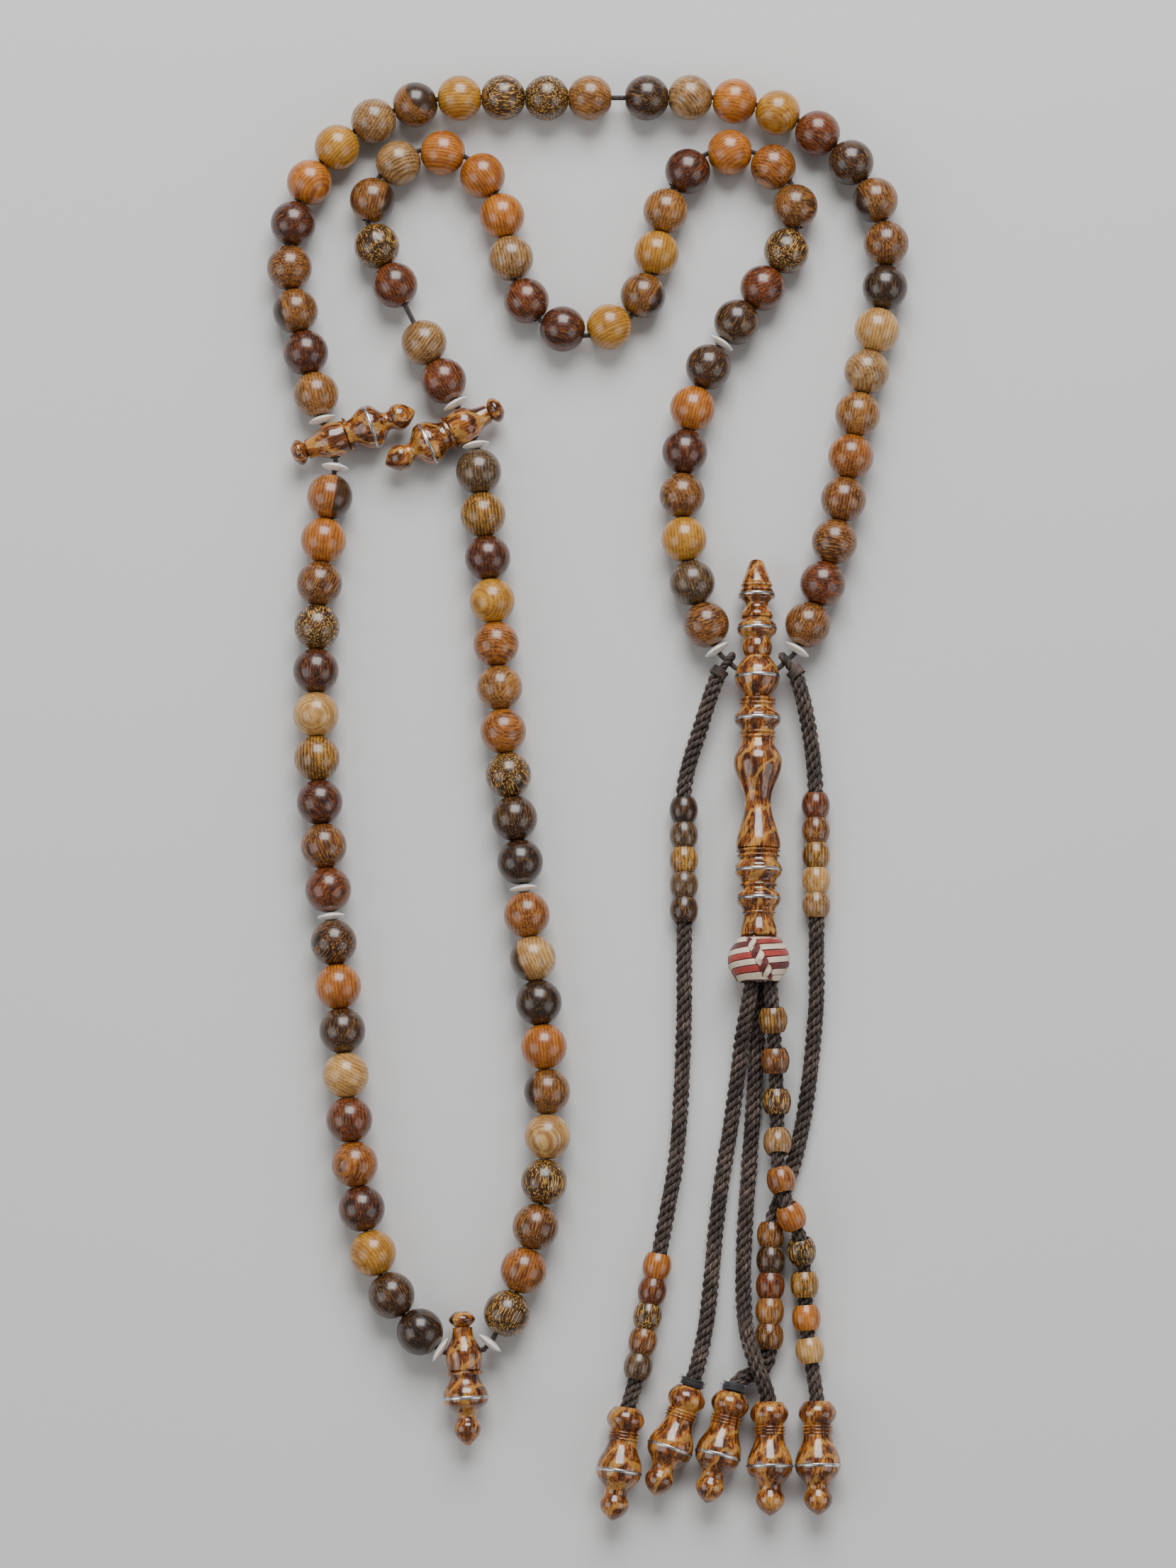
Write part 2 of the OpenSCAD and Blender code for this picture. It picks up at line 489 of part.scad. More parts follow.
module thread_bindings() on_table() color([0.1, 0.1, 0.1]) for (i = [1, 2]) {
    finial_place(i) translate([0, 0, -binding_l - 0.1]) difference() {
        cylinder(d = cord_d + 1.3, h = binding_l);
        translate([0, 0, -1]) cylinder(d = cord_d + 0.9, h = binding_l + 2);
    }
}

main_string();
tower_left_seven_beads();
inner_arch_beads();
inner_sliding_bead();
right_separator_bead();
right_strand_upper_ten();
right_strand_lower_ten();
left_strand_lower_ten();
left_strand_upper_ten();
outer_arch_left_beads();
outer_sliding_bead();
outer_arch_right_beads();
spacer_discs();
tower();
tower_rings();
woven_knot();
knot_core();
left_separator();
left_separator_ring();
right_separator();
right_separator_ring();
pendant();
pendant_ring();
left_side_cord();
right_side_cord();
front_cord();
back_cord();
counter_cord();
left_cord_eye();
right_cord_eye();
for (i = [1:counters_on_cord]) {
    counter_on_cord(i);
}
left_upper_counters();
left_lower_counters();
right_upper_counters();
right_lower_counters();
for (i = [1:len(finial_mouths)]) {
    finial(i);
    finial_ring(i);
}
cord_end_knots();
left_cord_end_knot();
thread_bindings();
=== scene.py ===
import json
import math
import random

import bmesh
import bpy
import numpy as np
from mathutils import Matrix, Vector


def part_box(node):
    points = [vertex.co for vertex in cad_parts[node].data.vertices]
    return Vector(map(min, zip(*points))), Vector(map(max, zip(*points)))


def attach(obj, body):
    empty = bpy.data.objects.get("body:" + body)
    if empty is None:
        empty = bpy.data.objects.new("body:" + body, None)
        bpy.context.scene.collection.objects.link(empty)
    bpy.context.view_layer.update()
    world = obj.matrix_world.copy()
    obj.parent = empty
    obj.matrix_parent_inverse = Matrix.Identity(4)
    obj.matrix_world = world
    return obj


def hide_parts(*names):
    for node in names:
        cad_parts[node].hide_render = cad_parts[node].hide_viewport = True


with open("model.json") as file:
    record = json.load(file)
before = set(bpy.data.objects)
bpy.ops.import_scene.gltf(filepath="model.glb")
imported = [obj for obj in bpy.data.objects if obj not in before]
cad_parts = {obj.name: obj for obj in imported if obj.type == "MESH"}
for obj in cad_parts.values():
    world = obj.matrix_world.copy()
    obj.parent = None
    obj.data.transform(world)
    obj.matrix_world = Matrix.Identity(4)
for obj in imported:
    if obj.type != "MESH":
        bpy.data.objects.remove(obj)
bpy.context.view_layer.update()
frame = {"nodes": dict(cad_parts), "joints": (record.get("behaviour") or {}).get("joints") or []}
mm = 0.001
straightUp = np.array([0.0, 0.0, 1.0])
layoutMiddle = np.array([0.86, 30.8, 0.0])  # the cord routes are laid out from here


# small helpers

def clearSelection():
    if bpy.context.object and bpy.context.object.mode != "OBJECT":
        bpy.ops.object.mode_set(mode="OBJECT")
    bpy.ops.object.select_all(action="DESELECT")


def selectOnly(piece):
    clearSelection()
    piece.select_set(True)
    bpy.context.view_layer.objects.active = piece


def unit(v):
    return v / np.maximum(np.linalg.norm(v, axis=-1, keepdims=True), 1e-12)


def placeAlong(origin, direction, up=(0, 0, 1)):
    z = Vector(direction).normalized()
    x = Vector(up).cross(z).normalized()
    y = z.cross(x)
    turned = Matrix((x, y, z)).transposed().to_4x4()
    return Matrix.Translation(Vector(origin)) @ turned


def solids(nodeName):
    # the separate closed solids of one CAD node, each as its points in metres
    copy = bmesh.new()
    copy.from_mesh(frame["nodes"][nodeName].data)
    bmesh.ops.remove_doubles(copy, verts=copy.verts, dist=1e-6)
    found, seen = [], set()
    for start in copy.verts:
        if start in seen:
            continue
        group, waiting = [], [start]
        seen.add(start)
        while waiting:
            here = waiting.pop()
            group.append(tuple(here.co))
            for edge in here.link_edges:
                there = edge.other_vert(here)
                if there not in seen:
                    seen.add(there)
                    waiting.append(there)
        found.append(np.array(group))
    copy.free()
    return found


def middleOf(points):
    return (points.min(0) + points.max(0)) / 2


def keepOnPoints(mesh, name, kind, channel, values):
    # a value for every point of a mesh, which its material reads by this name
    made = mesh.attributes.new(name, kind, "POINT")
    made.data.foreach_set(channel, np.asarray(values, np.float32).ravel())


def boreAxis(points, nearest, farthest, flat=False):
    # the end rings of a drilled piece lie at a known distance from its middle
    offset = points - middleOf(points)
    away = np.linalg.norm(offset, axis=1) / mm
    ring = offset[(away > nearest) & (away < farthest)]
    vectors = np.linalg.eigh(ring.T @ ring)[1]
    return vectors[:, 0] if flat else vectors[:, 2]


# camera

camera = {"target": (0, 0, 0.004), "distance": 0.78, "elevation": 83, "heightSeen": 0.272}
tilt = math.radians(camera["elevation"])
away = Vector((0, -math.cos(tilt), math.sin(tilt))) * camera["distance"]
bpy.ops.object.camera_add(location=Vector(camera["target"]) + away)
shot = bpy.context.object
shot.rotation_euler = (math.radians(90) - tilt, 0, 0)
shot.data.lens = shot.data.sensor_width * camera["distance"] / camera["heightSeen"]
shot.data.clip_start, shot.data.clip_end = 0.01, 20
bpy.context.scene.camera = shot
print("camera placed")


# materials

def newMaterial(name, roughness=0.5, **values):
    material = bpy.data.materials.new(name)
    material.use_nodes = True
    shader = material.node_tree.nodes["Principled BSDF"]
    shader.inputs["Roughness"].default_value = roughness
    for socket, value in values.items():
        shader.inputs[socket.replace("_", " ")].default_value = value
    return material, shader


def addNode(material, kind, **values):
    made = material.node_tree.nodes.new("ShaderNode" + kind)
    for socket, value in values.items():
        made.inputs[socket.replace("_", " ")].default_value = value
    return made


def wire(material, source, target):
    material.node_tree.links.new(source, target)


def ownCoordinates(material, stretch, attribute=None, move=(0, 0, 0)):
    if attribute:
        source = addNode(material, "Attribute")
        source.attribute_name = attribute
        out = source.outputs["Vector"]
    else:
        out = addNode(material, "TexCoord").outputs["Object"]
    mapping = addNode(material, "Mapping", Scale=stretch, Location=move)
    wire(material, out, mapping.inputs["Vector"])
    return mapping.outputs["Vector"]


def noiseOn(material, vector, scale=1.0, detail=4.0, rough=0.55, distortion=0.0):
    texture = addNode(material, "TexNoise", Scale=scale, Detail=detail, Roughness=rough,
                      Distortion=distortion)
    wire(material, vector, texture.inputs["Vector"])
    return texture.outputs["Fac"]


def ramped(material, value, stops):
    # stops are (place, brightness or colour)
    made = addNode(material, "ValToRGB")
    band = made.color_ramp
    while len(band.elements) < len(stops):
        band.elements.new(0.5)
    for element, (place, colour) in zip(band.elements, stops):
        element.position = place
        element.color = (colour,) * 3 + (1,) if isinstance(colour, (int, float)) else (*colour, 1)
    wire(material, value, made.inputs["Fac"])
    return made.outputs["Color"]


def mathOn(material, operation, a, b):
    made = addNode(material, "Math")
    made.operation = operation
    for socket, value in zip(made.inputs, (a, b)):
        if isinstance(value, (int, float)):
            socket.default_value = value
        else:
            wire(material, value, socket)
    return made.outputs["Value"]


def mixed(material, factor, a, b, blend="MIX"):
    made = addNode(material, "MixRGB")
    made.blend_type = blend
    for socket, value in zip(made.inputs, (factor, a, b)):
        if isinstance(value, (int, float)):
            socket.default_value = value
        elif isinstance(value, tuple):
            socket.default_value = (*value, 1)
        else:
            wire(material, value, socket)
    return made.outputs["Color"]


def bumped(material, shader, height, strength, distance):
    made = addNode(material, "Bump", Strength=strength, Distance=distance)
    wire(material, height, made.inputs["Height"])
    wire(material, made.outputs["Normal"], shader.inputs["Normal"])


def roughened(material, shader, value, low, high):
    span = addNode(material, "MapRange")
    span.inputs["To Min"].default_value = low
    span.inputs["To Max"].default_value = high
    wire(material, value, span.inputs["Value"])
    wire(material, span.outputs["Result"], shader.inputs["Roughness"])


def shade(hexColour):
    # a colour given as sRGB hex, turned into the shader's linear values
    parts = [int(hexColour[i:i + 2], 16) / 255 for i in (0, 2, 4)]
    return tuple(p / 12.92 if p < 0.04045 else ((p + 0.055) / 1.055) ** 2.4 for p in parts)


def attributeOf(material, name, output="Color"):
    made = addNode(material, "Attribute")
    made.attribute_name = name
    return made.outputs[output]


def beadWoodMaterial():
    material, shader = newMaterial("beadWood", Coat_Weight=0.42, Coat_Roughness=0.14,
                                   Specular_IOR_Level=0.5)
    broad = noiseOn(material, ownCoordinates(material, (0.42, 0.42, 0.06), "grain"),
                    detail=3, distortion=0.6)
    fibre = noiseOn(material, ownCoordinates(material, (1.8, 1.8, 0.17), "grain"), detail=5)
    fine = noiseOn(material, ownCoordinates(material, (4.2, 4.2, 0.5), "grain"), detail=3)
    rings = addNode(material, "TexWave", Scale=0.55, Distortion=2.6, Detail=2.0)
    rings.inputs["Detail Scale"].default_value = 1.2
    wire(material, ownCoordinates(material, (1, 0.5, 0.1), "grain"), rings.inputs["Vector"])
    body = mathOn(material, "ADD", mathOn(material, "MULTIPLY", broad, 0.5),
                  mathOn(material, "MULTIPLY", fibre, 0.36))
    body = mathOn(material, "ADD", body, mathOn(material, "MULTIPLY", rings.outputs["Fac"], 0.14))
    spread = ramped(material, body, [(0.4, 0.0), (0.5, 0.45), (0.6, 1.0)])
    colour = mixed(material, spread, attributeOf(material, "dark"), attributeOf(material, "light"))
    dash = ramped(material, fine, [(0.53, 0.0), (0.61, 1.0)])
    dash = mathOn(material, "MULTIPLY", dash, attributeOf(material, "fleckAmount", "Fac"))
    colour = mixed(material, dash, colour, attributeOf(material, "fleck"))
    pore = ramped(material, fine, [(0.35, 1.0), (0.44, 0.0)])
    colour = mixed(material, mathOn(material, "MULTIPLY", pore, 0.55), colour, shade("1c0d06"))
    # a two-tone bead turns dark past a wavering edge across its grain
    across = addNode(material, "SeparateXYZ")
    wire(material, attributeOf(material, "lean", "Vector"), across.inputs["Vector"])
    wander = mathOn(material, "MULTIPLY", broad, 1.6)
    past = mathOn(material, "SUBTRACT", mathOn(material, "ADD", across.outputs["X"], wander),
                  attributeOf(material, "edge", "Fac"))
    heart = ramped(material, past, [(0.0, 0.0), (0.35, 1.0)])
    colour = mixed(material, mathOn(material, "MULTIPLY", heart, 0.86), colour, shade("180b06"))
    wire(material, colour, shader.inputs["Base Color"])
    roughened(material, shader, fibre, 0.2, 0.42)
    bumped(material, shader, fine, 0.12, 0.0001)
    return material


def figuredWoodMaterial():
    material, shader = newMaterial("figuredWood", Coat_Weight=0.8, Coat_Roughness=0.07,
                                   Specular_IOR_Level=0.5)
    streak = noiseOn(material, ownCoordinates(material, (2.3, 2.3, 0.28), "grain"), detail=5,
                     distortion=0.7)
    broad = noiseOn(material, ownCoordinates(material, (0.5, 0.5, 0.15), "grain"), detail=3,
                    distortion=1.4)
    dots = noiseOn(material, ownCoordinates(material, (3.4, 3.4, 0.8), "grain"), detail=3)
    tone = mathOn(material, "ADD", mathOn(material, "MULTIPLY", streak, 0.56),
                  mathOn(material, "MULTIPLY", broad, 0.44))
    colour = ramped(material, tone, [(0.39, shade("241005")), (0.46, shade("5a2b0d")),
                                     (0.52, shade("8a4a15")), (0.58, shade("ad6b24")),
                                     (0.65, shade("cf9644"))])
    # golden lines swing to and fro across the grain in long points
    swing = addNode(material, "TexNoise", Scale=0.3, Detail=2.0)
    wire(material, ownCoordinates(material, (1, 1, 0.5), "grain"), swing.inputs["Vector"])
    bent = addNode(material, "VectorMath")
    bent.operation = "MULTIPLY_ADD"
    bent.inputs[1].default_value = (4, 4, 9)
    wire(material, swing.outputs["Color"], bent.inputs[0])
    wire(material, ownCoordinates(material, (1, 1, 1), "grain"), bent.inputs[2])
    waves = addNode(material, "TexWave", Scale=0.11, Distortion=2.5, Detail=2.0)
    waves.bands_direction = "DIAGONAL"
    wire(material, bent.outputs["Vector"], waves.inputs["Vector"])
    line = ramped(material, waves.outputs["Fac"], [(0.78, 0.0), (0.93, 1.0)])
    colour = mixed(material, mathOn(material, "MULTIPLY", line, 0.5), colour, shade("cf9a48"))
    vein = ramped(material, waves.outputs["Fac"], [(0.06, 1.0), (0.16, 0.0)])
    colour = mixed(material, mathOn(material, "MULTIPLY", vein, 0.5), colour, shade("3a1a08"))
    dark = ramped(material, dots, [(0.35, 1.0), (0.43, 0.0)])
    colour = mixed(material, mathOn(material, "MULTIPLY", dark, 0.75), colour, shade("1c0c05"))
    wire(material, colour, shader.inputs["Base Color"])
    roughened(material, shader, streak, 0.13, 0.3)
    bumped(material, shader, streak, 0.1, 0.0001)
    return material


def silverMaterial():
    material, shader = newMaterial("silverWire", Metallic=1.0)
    drawn = noiseOn(material, ownCoordinates(material, (0.5, 0.5, 14), "grain"), detail=4)
    patches = noiseOn(material, ownCoordinates(material, (0.8, 0.8, 0.8), "grain"))
    colour = ramped(material, patches, [(0.3, shade("8e8c88")), (0.5, shade("c6c6c8")),
                                        (0.7, shade("e4e4e6"))])
    wire(material, colour, shader.inputs["Base Color"])
    roughened(material, shader, drawn, 0.16, 0.4)
    bumped(material, shader, drawn, 0.15, 0.00004)
    return material


def spacerMaterial():
    material, shader = newMaterial("ivorySpacer", Coat_Weight=0.4, Coat_Roughness=0.08,
                                   Subsurface_Weight=0.12, Subsurface_Scale=0.0008)
    cloud = noiseOn(material, ownCoordinates(material, (900, 900, 900)), detail=3)
    colour = ramped(material, cloud, [(0.3, shade("ddd8c9")), (0.55, shade("f2efe6")),
                                      (0.8, shade("faf9f4"))])
    wire(material, colour, shader.inputs["Base Color"])
    roughened(material, shader, cloud, 0.16, 0.3)
    bumped(material, shader, cloud, 0.05, 0.00005)
    return material


def yarnMaterial(name, deep, middle, glint, sheen, along=0.9):
    material, shader = newMaterial(name, roughness=0.7, Sheen_Weight=sheen, Sheen_Roughness=0.4)
    fibres = noiseOn(material, ownCoordinates(material, (16, 16, along), "yarn"), detail=3)
    patches = noiseOn(material, ownCoordinates(material, (260, 260, 260)), detail=2)
    tone = mathOn(material, "ADD", mathOn(material, "MULTIPLY", fibres, 0.75),
                  mathOn(material, "MULTIPLY", patches, 0.25))
    colour = ramped(material, tone, [(0.34, shade(deep)), (0.52, shade(middle)),
                                     (0.7, shade(glint))])
    wire(material, colour, shader.inputs["Base Color"])
    roughened(material, shader, fibres, 0.45, 0.8)
    bumped(material, shader, fibres, 0.4, 0.00008)
    return material


def plainThreadMaterial(name, deep, middle, glint):
    # for CAD pieces, which keep their own mesh and so read Object coordinates
    material, shader = newMaterial(name, roughness=0.75, Sheen_Weight=0.3)
    fibres = noiseOn(material, ownCoordinates(material, (2600, 900, 2600)), detail=4,
                     distortion=0.4)
    colour = ramped(material, fibres, [(0.35, shade(deep)), (0.52, shade(middle)),
                                       (0.68, shade(glint))])
    wire(material, colour, shader.inputs["Base Color"])
    roughened(material, shader, fibres, 0.5, 0.85)
    bumped(material, shader, fibres, 0.4, 0.0001)
    return material


beadWood = beadWoodMaterial()
figuredWood = figuredWoodMaterial()
silverWire = silverMaterial()
ivorySpacer = spacerMaterial()
cordYarn = yarnMaterial("cordYarn", "120b08", "2c1d17", "9a8272", 0.14)
crimsonYarn = yarnMaterial("crimsonYarn", "7a1a18", "a93229", "d0604f", 0.5)
maroonYarn = yarnMaterial("maroonYarn", "3c0c0f", "641a1b", "8f3a36", 0.5)
creamYarn = yarnMaterial("creamYarn", "b9a589", "e6d6bb", "f6ecda", 0.4)
blackYarn = yarnMaterial("blackYarn", "08080a", "15161a", "50545c", 0.5)
stringThread = plainThreadMaterial("stringThread", "120b09", "261915", "54423a")
cordThread = plainThreadMaterial("cordThread", "1d1310", "3b2a26", "6a544d")
print("materials ready")


# threads and cords

def runOf(points):
    return np.concatenate([[0], np.cumsum(np.linalg.norm(np.diff(points, axis=0), axis=1))])


def resampled(points, step):
    run = runOf(points)
    places = np.linspace(0, run[-1], max(2, int(round(run[-1] / step)) + 1))
    return np.stack([np.interp(places, run, points[:, k]) for k in range(3)], 1)


def softened(points, reach, step):
    # rounds the corners of a route and leaves its straight stretches straight
    count = max(1, int(round(reach / step)))
    padded = np.concatenate([2 * points[0] - points[count:0:-1], points,
                             2 * points[-1] - points[-2:-count - 2:-1]])
    weights = np.hanning(2 * count + 3)[1:-1]
    weights /= weights.sum()
    return np.stack([np.convolve(padded[:, k], weights, "valid") for k in range(3)], 1)


def tubeAlong(points, radius, sides, guide):
    # one closed thread: its points, quads and ends, with coordinates along and round it
    count = len(points)
    ahead = unit(np.gradient(points, axis=0))
    out = guide - (guide * ahead).sum(1, keepdims=True) * ahead
    out = unit(out)
    side = np.cross(ahead, out)
    angles = np.arange(sides) * 2 * math.pi / sides
    radius = np.broadcast_to(radius, (count,))[:, None, None]
    ring = out[:, None, :] * np.cos(angles)[None, :, None]
    ring = ring + side[:, None, :] * np.sin(angles)[None, :, None]
    verts = (points[:, None, :] + radius * ring).reshape(-1, 3)
    i, k = np.meshgrid(np.arange(count - 1), np.arange(sides), indexing="ij")
    a, b = i * sides + k, i * sides + (k + 1) % sides
    quads = np.stack([a, b, b + sides, a + sides], -1).reshape(-1, 4).tolist()
    ends = [list(range(sides))[::-1], list(range((count - 1) * sides, count * sides))]
    run = np.repeat(runOf(points), sides)
    round_ = np.tile(angles, count)
    yarn = np.stack([np.cos(round_) * 0.3, np.sin(round_) * 0.3, run], 1)
    return verts, quads + ends, yarn


def threadsPiece(name, threads, material, materialOf=None):
    # joins many threads into one mesh; sizes are in mm until here
    verts, faces, yarns, slots, base = [], [], [], [], 0
    for index, (v, f, y) in enumerate(threads):
        verts.append(v)
        yarns.append(y + [0.0, 0.0, 37.0 * index])
        faces.extend([[base + n for n in face] for face in f])
        slots.extend([materialOf[index] if materialOf else 0] * len(f))
        base += len(v)
    mesh = bpy.data.meshes.new(name)
    mesh.from_pydata((np.concatenate(verts) * mm).tolist(), [], faces)
    piece = bpy.data.objects.new(name, mesh)
    bpy.context.scene.collection.objects.link(piece)
    for one in (material if isinstance(material, list) else [material]):
        mesh.materials.append(one)
    mesh.polygons.foreach_set("material_index", slots)
    keepOnPoints(mesh, "yarn", "FLOAT_VECTOR", "vector", np.concatenate(yarns))
    mesh.shade_smooth()
    mesh.update()
    return piece


def pressedFlat(threads):
    # keeps every thread just above the table that the cords lie on
    for verts, _, _ in threads:
        verts[:, 2] = np.maximum(verts[:, 2], aboveTable)
    return threads


aboveTable = 0.02
# a ply's half thickness is a share of the rope's, and a yarn's reach and half thickness are of the ply's
rope = {"plies": 4, "yarns": 3, "pitch": 6.6, "yarnPitch": 2.3, "step": 0.34, "sides": 5,
        "plyShare": 0.414, "yarnReach": 0.52, "yarnShare": 0.5, "swell": 0.06, "swellEvery": 1.5,
        "hairsPerMm": 7, "hair": 0.017, "hairReach": (0.15, 0.75)}


def laidRope(centre, diameter, seed):
    # four plies of three yarns each, wound round the centreline, with stray fibres
    rng = np.random.default_rng(seed)
    half = diameter / 2
    ahead = unit(np.gradient(centre, axis=0))
    across = unit(np.cross(straightUp, ahead))
    upward = np.cross(ahead, across)
    run = runOf(centre)
    swells = np.arange(0, run[-1] + 2 * rope["swellEvery"], rope["swellEvery"])
    plyHalf = half * rope["plyShare"]
    threads = []
    for ply in range(rope["plies"]):
        turn = 2 * math.pi * (run / rope["pitch"] + ply / rope["plies"])
        radial = across * np.cos(turn)[:, None] + upward * np.sin(turn)[:, None]
        sideways = np.cross(ahead, radial)
        plyLine = centre + radial * (half - plyHalf)
        for one in range(rope["yarns"]):
            twist = -2 * math.pi * run / rope["yarnPitch"] + 2 * math.pi * one / rope["yarns"]
            lean = radial * np.cos(twist)[:, None] + sideways * np.sin(twist)[:, None]
            wobble = 1 + rope["swell"] * np.interp(run, swells, rng.normal(size=len(swells)))
            threads.append(tubeAlong(plyLine + lean * (plyHalf * rope["yarnReach"]),
                                     plyHalf * rope["yarnShare"] * wobble, rope["sides"], lean))
    for _ in range(int(run[-1] * rope["hairsPerMm"])):
        at = rng.integers(2, len(centre) - 2)
        angle = rng.uniform(0, 2 * math.pi)
        out = across[at] * math.cos(angle) + upward[at] * math.sin(angle)
        drift = ahead[at] * rng.normal(0, 0.7) + np.cross(ahead[at], out) * rng.normal(0, 0.6)
        reach = rng.uniform(*rope["hairReach"])
        t = np.linspace(0, 1, 4)[:, None]
        line = centre[at] + out * (half * 0.8 + reach * t) + drift * reach * t * t
        threads.append(tubeAlong(line, rope["hair"], 3, np.tile(np.cross(ahead[at], out), (4, 1))))
    return pressedFlat(threads)


cords = {
    "left_side_cord": {"body": "left_tassel_cord", "reach": 2.6, "route": [
        [23.75, 50.35, 4], [22.8, 48.2, 3.8], [21.6, 44.6, 3.4], [20.2, 40, 2.9],
        [18.8, 35.8, 2.6], [17.8, 32, 2.5], [17.5, 29.5, 2.5], [17.5, 18, 2.5], [17.5, 5, 2.5],
        [17.5, -8, 2.5], [17.4, -12, 2.2], [17.2, -17, 1.5], [16.9, -24, 1.4], [16.4, -31, 1.7],
        [15.8, -36, 2.5], [13.1, -50.2, 2.5], [10.82, -62.2, 2.5], [8.73, -73.2, 2.5],
        [8.1, -74.9, 2.95], [7.6, -76.5, 3.35], [7.1, -80.1, 3.6]]},
    "right_side_cord": {"body": "strand", "reach": 2.6, "route": [
        [36.85, 50.35, 4], [37.6, 48.2, 3.8], [38.6, 44.6, 3.4], [39.4, 40, 2.9],
        [40, 35.8, 2.6], [40.35, 32, 2.5], [40.4, 29.5, 2.5], [40.4, 18, 2.5], [40.4, 5, 2.5],
        [40.4, -5, 2.5], [40.2, -9, 2.1], [39.8, -14, 1.4], [39, -21, 1.4], [38, -27.5, 1.4],
        [36.8, -33, 1.4], [35.3, -37.8, 1.4], [33.7, -41.6, 1.7], [32.4, -44.8, 2.5],
        [31.76, -68.3, 2.5], [31, -69.9, 2.1], [29.4, -70.7, 2.2], [27.5, -71.1, 2.7],
        [26.1, -72.2, 3.2], [25.6, -73.8, 3.35], [24.7, -77.4, 3.6]]},
    "front_cord": {"body": "strand", "reach": 3, "route": [
        [29.05, -3.8, 6], [28.5, -7.5, 5.2], [27.6, -12, 3.6], [27, -17, 2.1],
        [26.4, -22, 1.4], [25.2, -30, 1.4], [23.8, -38.2, 1.4], [22.8, -46, 1.4], [22.1, -54, 1.4],
        [21.2, -62, 1.4], [20.2, -67, 1.8], [19.5, -69.7, 2.6], [18.9, -71.4, 3.2],
        [18.35, -73, 3.35], [17.1, -76.6, 3.6]]},
    "back_cord": {"body": "strand", "reach": 2.6, "route": [
        [30.6, -3.95, 3.7], [30.5, -8, 2.2], [30.2, -12, 1.4], [29.9, -18, 1.4],
        [29.4, -25, 1.4], [28.7, -34, 1.4], [28, -43, 1.4], [27.6, -50, 1.4], [27.5, -56, 1.4],
        [27.6, -59.5, 1.9], [27.8, -62.2, 3.1], [28.2, -64.8, 4.4], [29.1, -67.8, 5.2],
        [30.3, -71, 5], [31.3, -73.4, 3.9], [31.8, -75.6, 3.35], [31.8, -79.2, 3.6]]},
    "counter_cord": {"body": "strand", "reach": 0.9, "route": [
        [32.15, -3.8, 6], [32.6, -8, 5.4], [33, -14.9, 4.4], [33.3, -21.9, 3.4],
        [33.4, -29, 3.2], [33.5, -35.6, 5], [34.8, -41.9, 5.8], [37.2, -47.6, 4.5],
        [37.9, -53.2, 2.8], [38.1, -58.9, 2.5], [38.5, -64.5, 2.5], [39.5, -71.5, 2.6],
        [39.9, -74, 3], [40, -75.5, 3.35], [40, -79.1, 3.6]]},
}
# the yarns of a free cord stand out a little past its nominal size
cordSize = {"diameter": 2.7, "fullness": 1.08, "insideCounters": 1.0, "firstSeed": 11}

for seed, (node, spec) in enumerate(cords.items(), cordSize["firstSeed"]):
    route = np.array(spec["route"], float) - layoutMiddle
    centre = softened(resampled(route, rope["step"]), spec["reach"], rope["step"])
    full = cordSize["insideCounters" if node == "counter_cord" else "fullness"]
    threads = laidRope(centre, cordSize["diameter"] * full, seed)
    piece = threadsPiece("braided_" + node, threads, cordYarn)
    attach(piece, spec["body"])
    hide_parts(node)
print("cords laid")

# the sewn eye at the head of each side cord is a small three-ply loop round the string
eye = {"half": 1.8, "ahead": 0.5, "rise": 1.06, "plies": 3, "turns": 4, "ply": 0.351}
whipping = {"turns": 6, "start": 1.75, "length": 1.5, "radius": 1.38, "thread": 0.17}
for node, body, at, turn in (("left_cord_eye", "left_tassel_cord", (25.15, 52.25, 4), -128),
                             ("right_cord_eye", "strand", (35.45, 52.25, 4), -52)):
    middle = np.array(at) - layoutMiddle
    t = np.linspace(0, 2 * math.pi, 60)
    forward = np.array([math.cos(math.radians(turn)), math.sin(math.radians(turn)), 0.0])
    side = np.array([-forward[1], forward[0], 0.0])
    loop = (middle + forward * (eye["ahead"] + eye["half"] * np.cos(t))[:, None]
            + straightUp * (eye["rise"] * np.sin(t))[:, None])
    outward = unit(loop - (middle + forward * eye["ahead"]))
    share = runOf(loop) / runOf(loop)[-1]
    threads = []
    for ply in range(eye["plies"]):
        turnRound = 2 * math.pi * (share * eye["turns"] + ply / eye["plies"])
        offset = outward * np.cos(turnRound)[:, None] + side * np.sin(turnRound)[:, None]
        threads.append(tubeAlong(loop + offset * eye["ply"], eye["ply"], 6, offset))
    # the seam is whipped with yarn where the loop closes on the cord
    along = np.linspace(0, 1, whipping["turns"] * 16)
    angle = 2 * math.pi * whipping["turns"] * along
    offset = side * np.cos(angle)[:, None] + straightUp * np.sin(angle)[:, None]
    line = middle + forward * (whipping["start"] + whipping["length"] * along)[:, None]
    threads.append(tubeAlong(line + offset * whipping["radius"], whipping["thread"], 6, offset))
    piece = threadsPiece("sewn_" + node, threads, cordYarn)
    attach(piece, body)
    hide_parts(node)

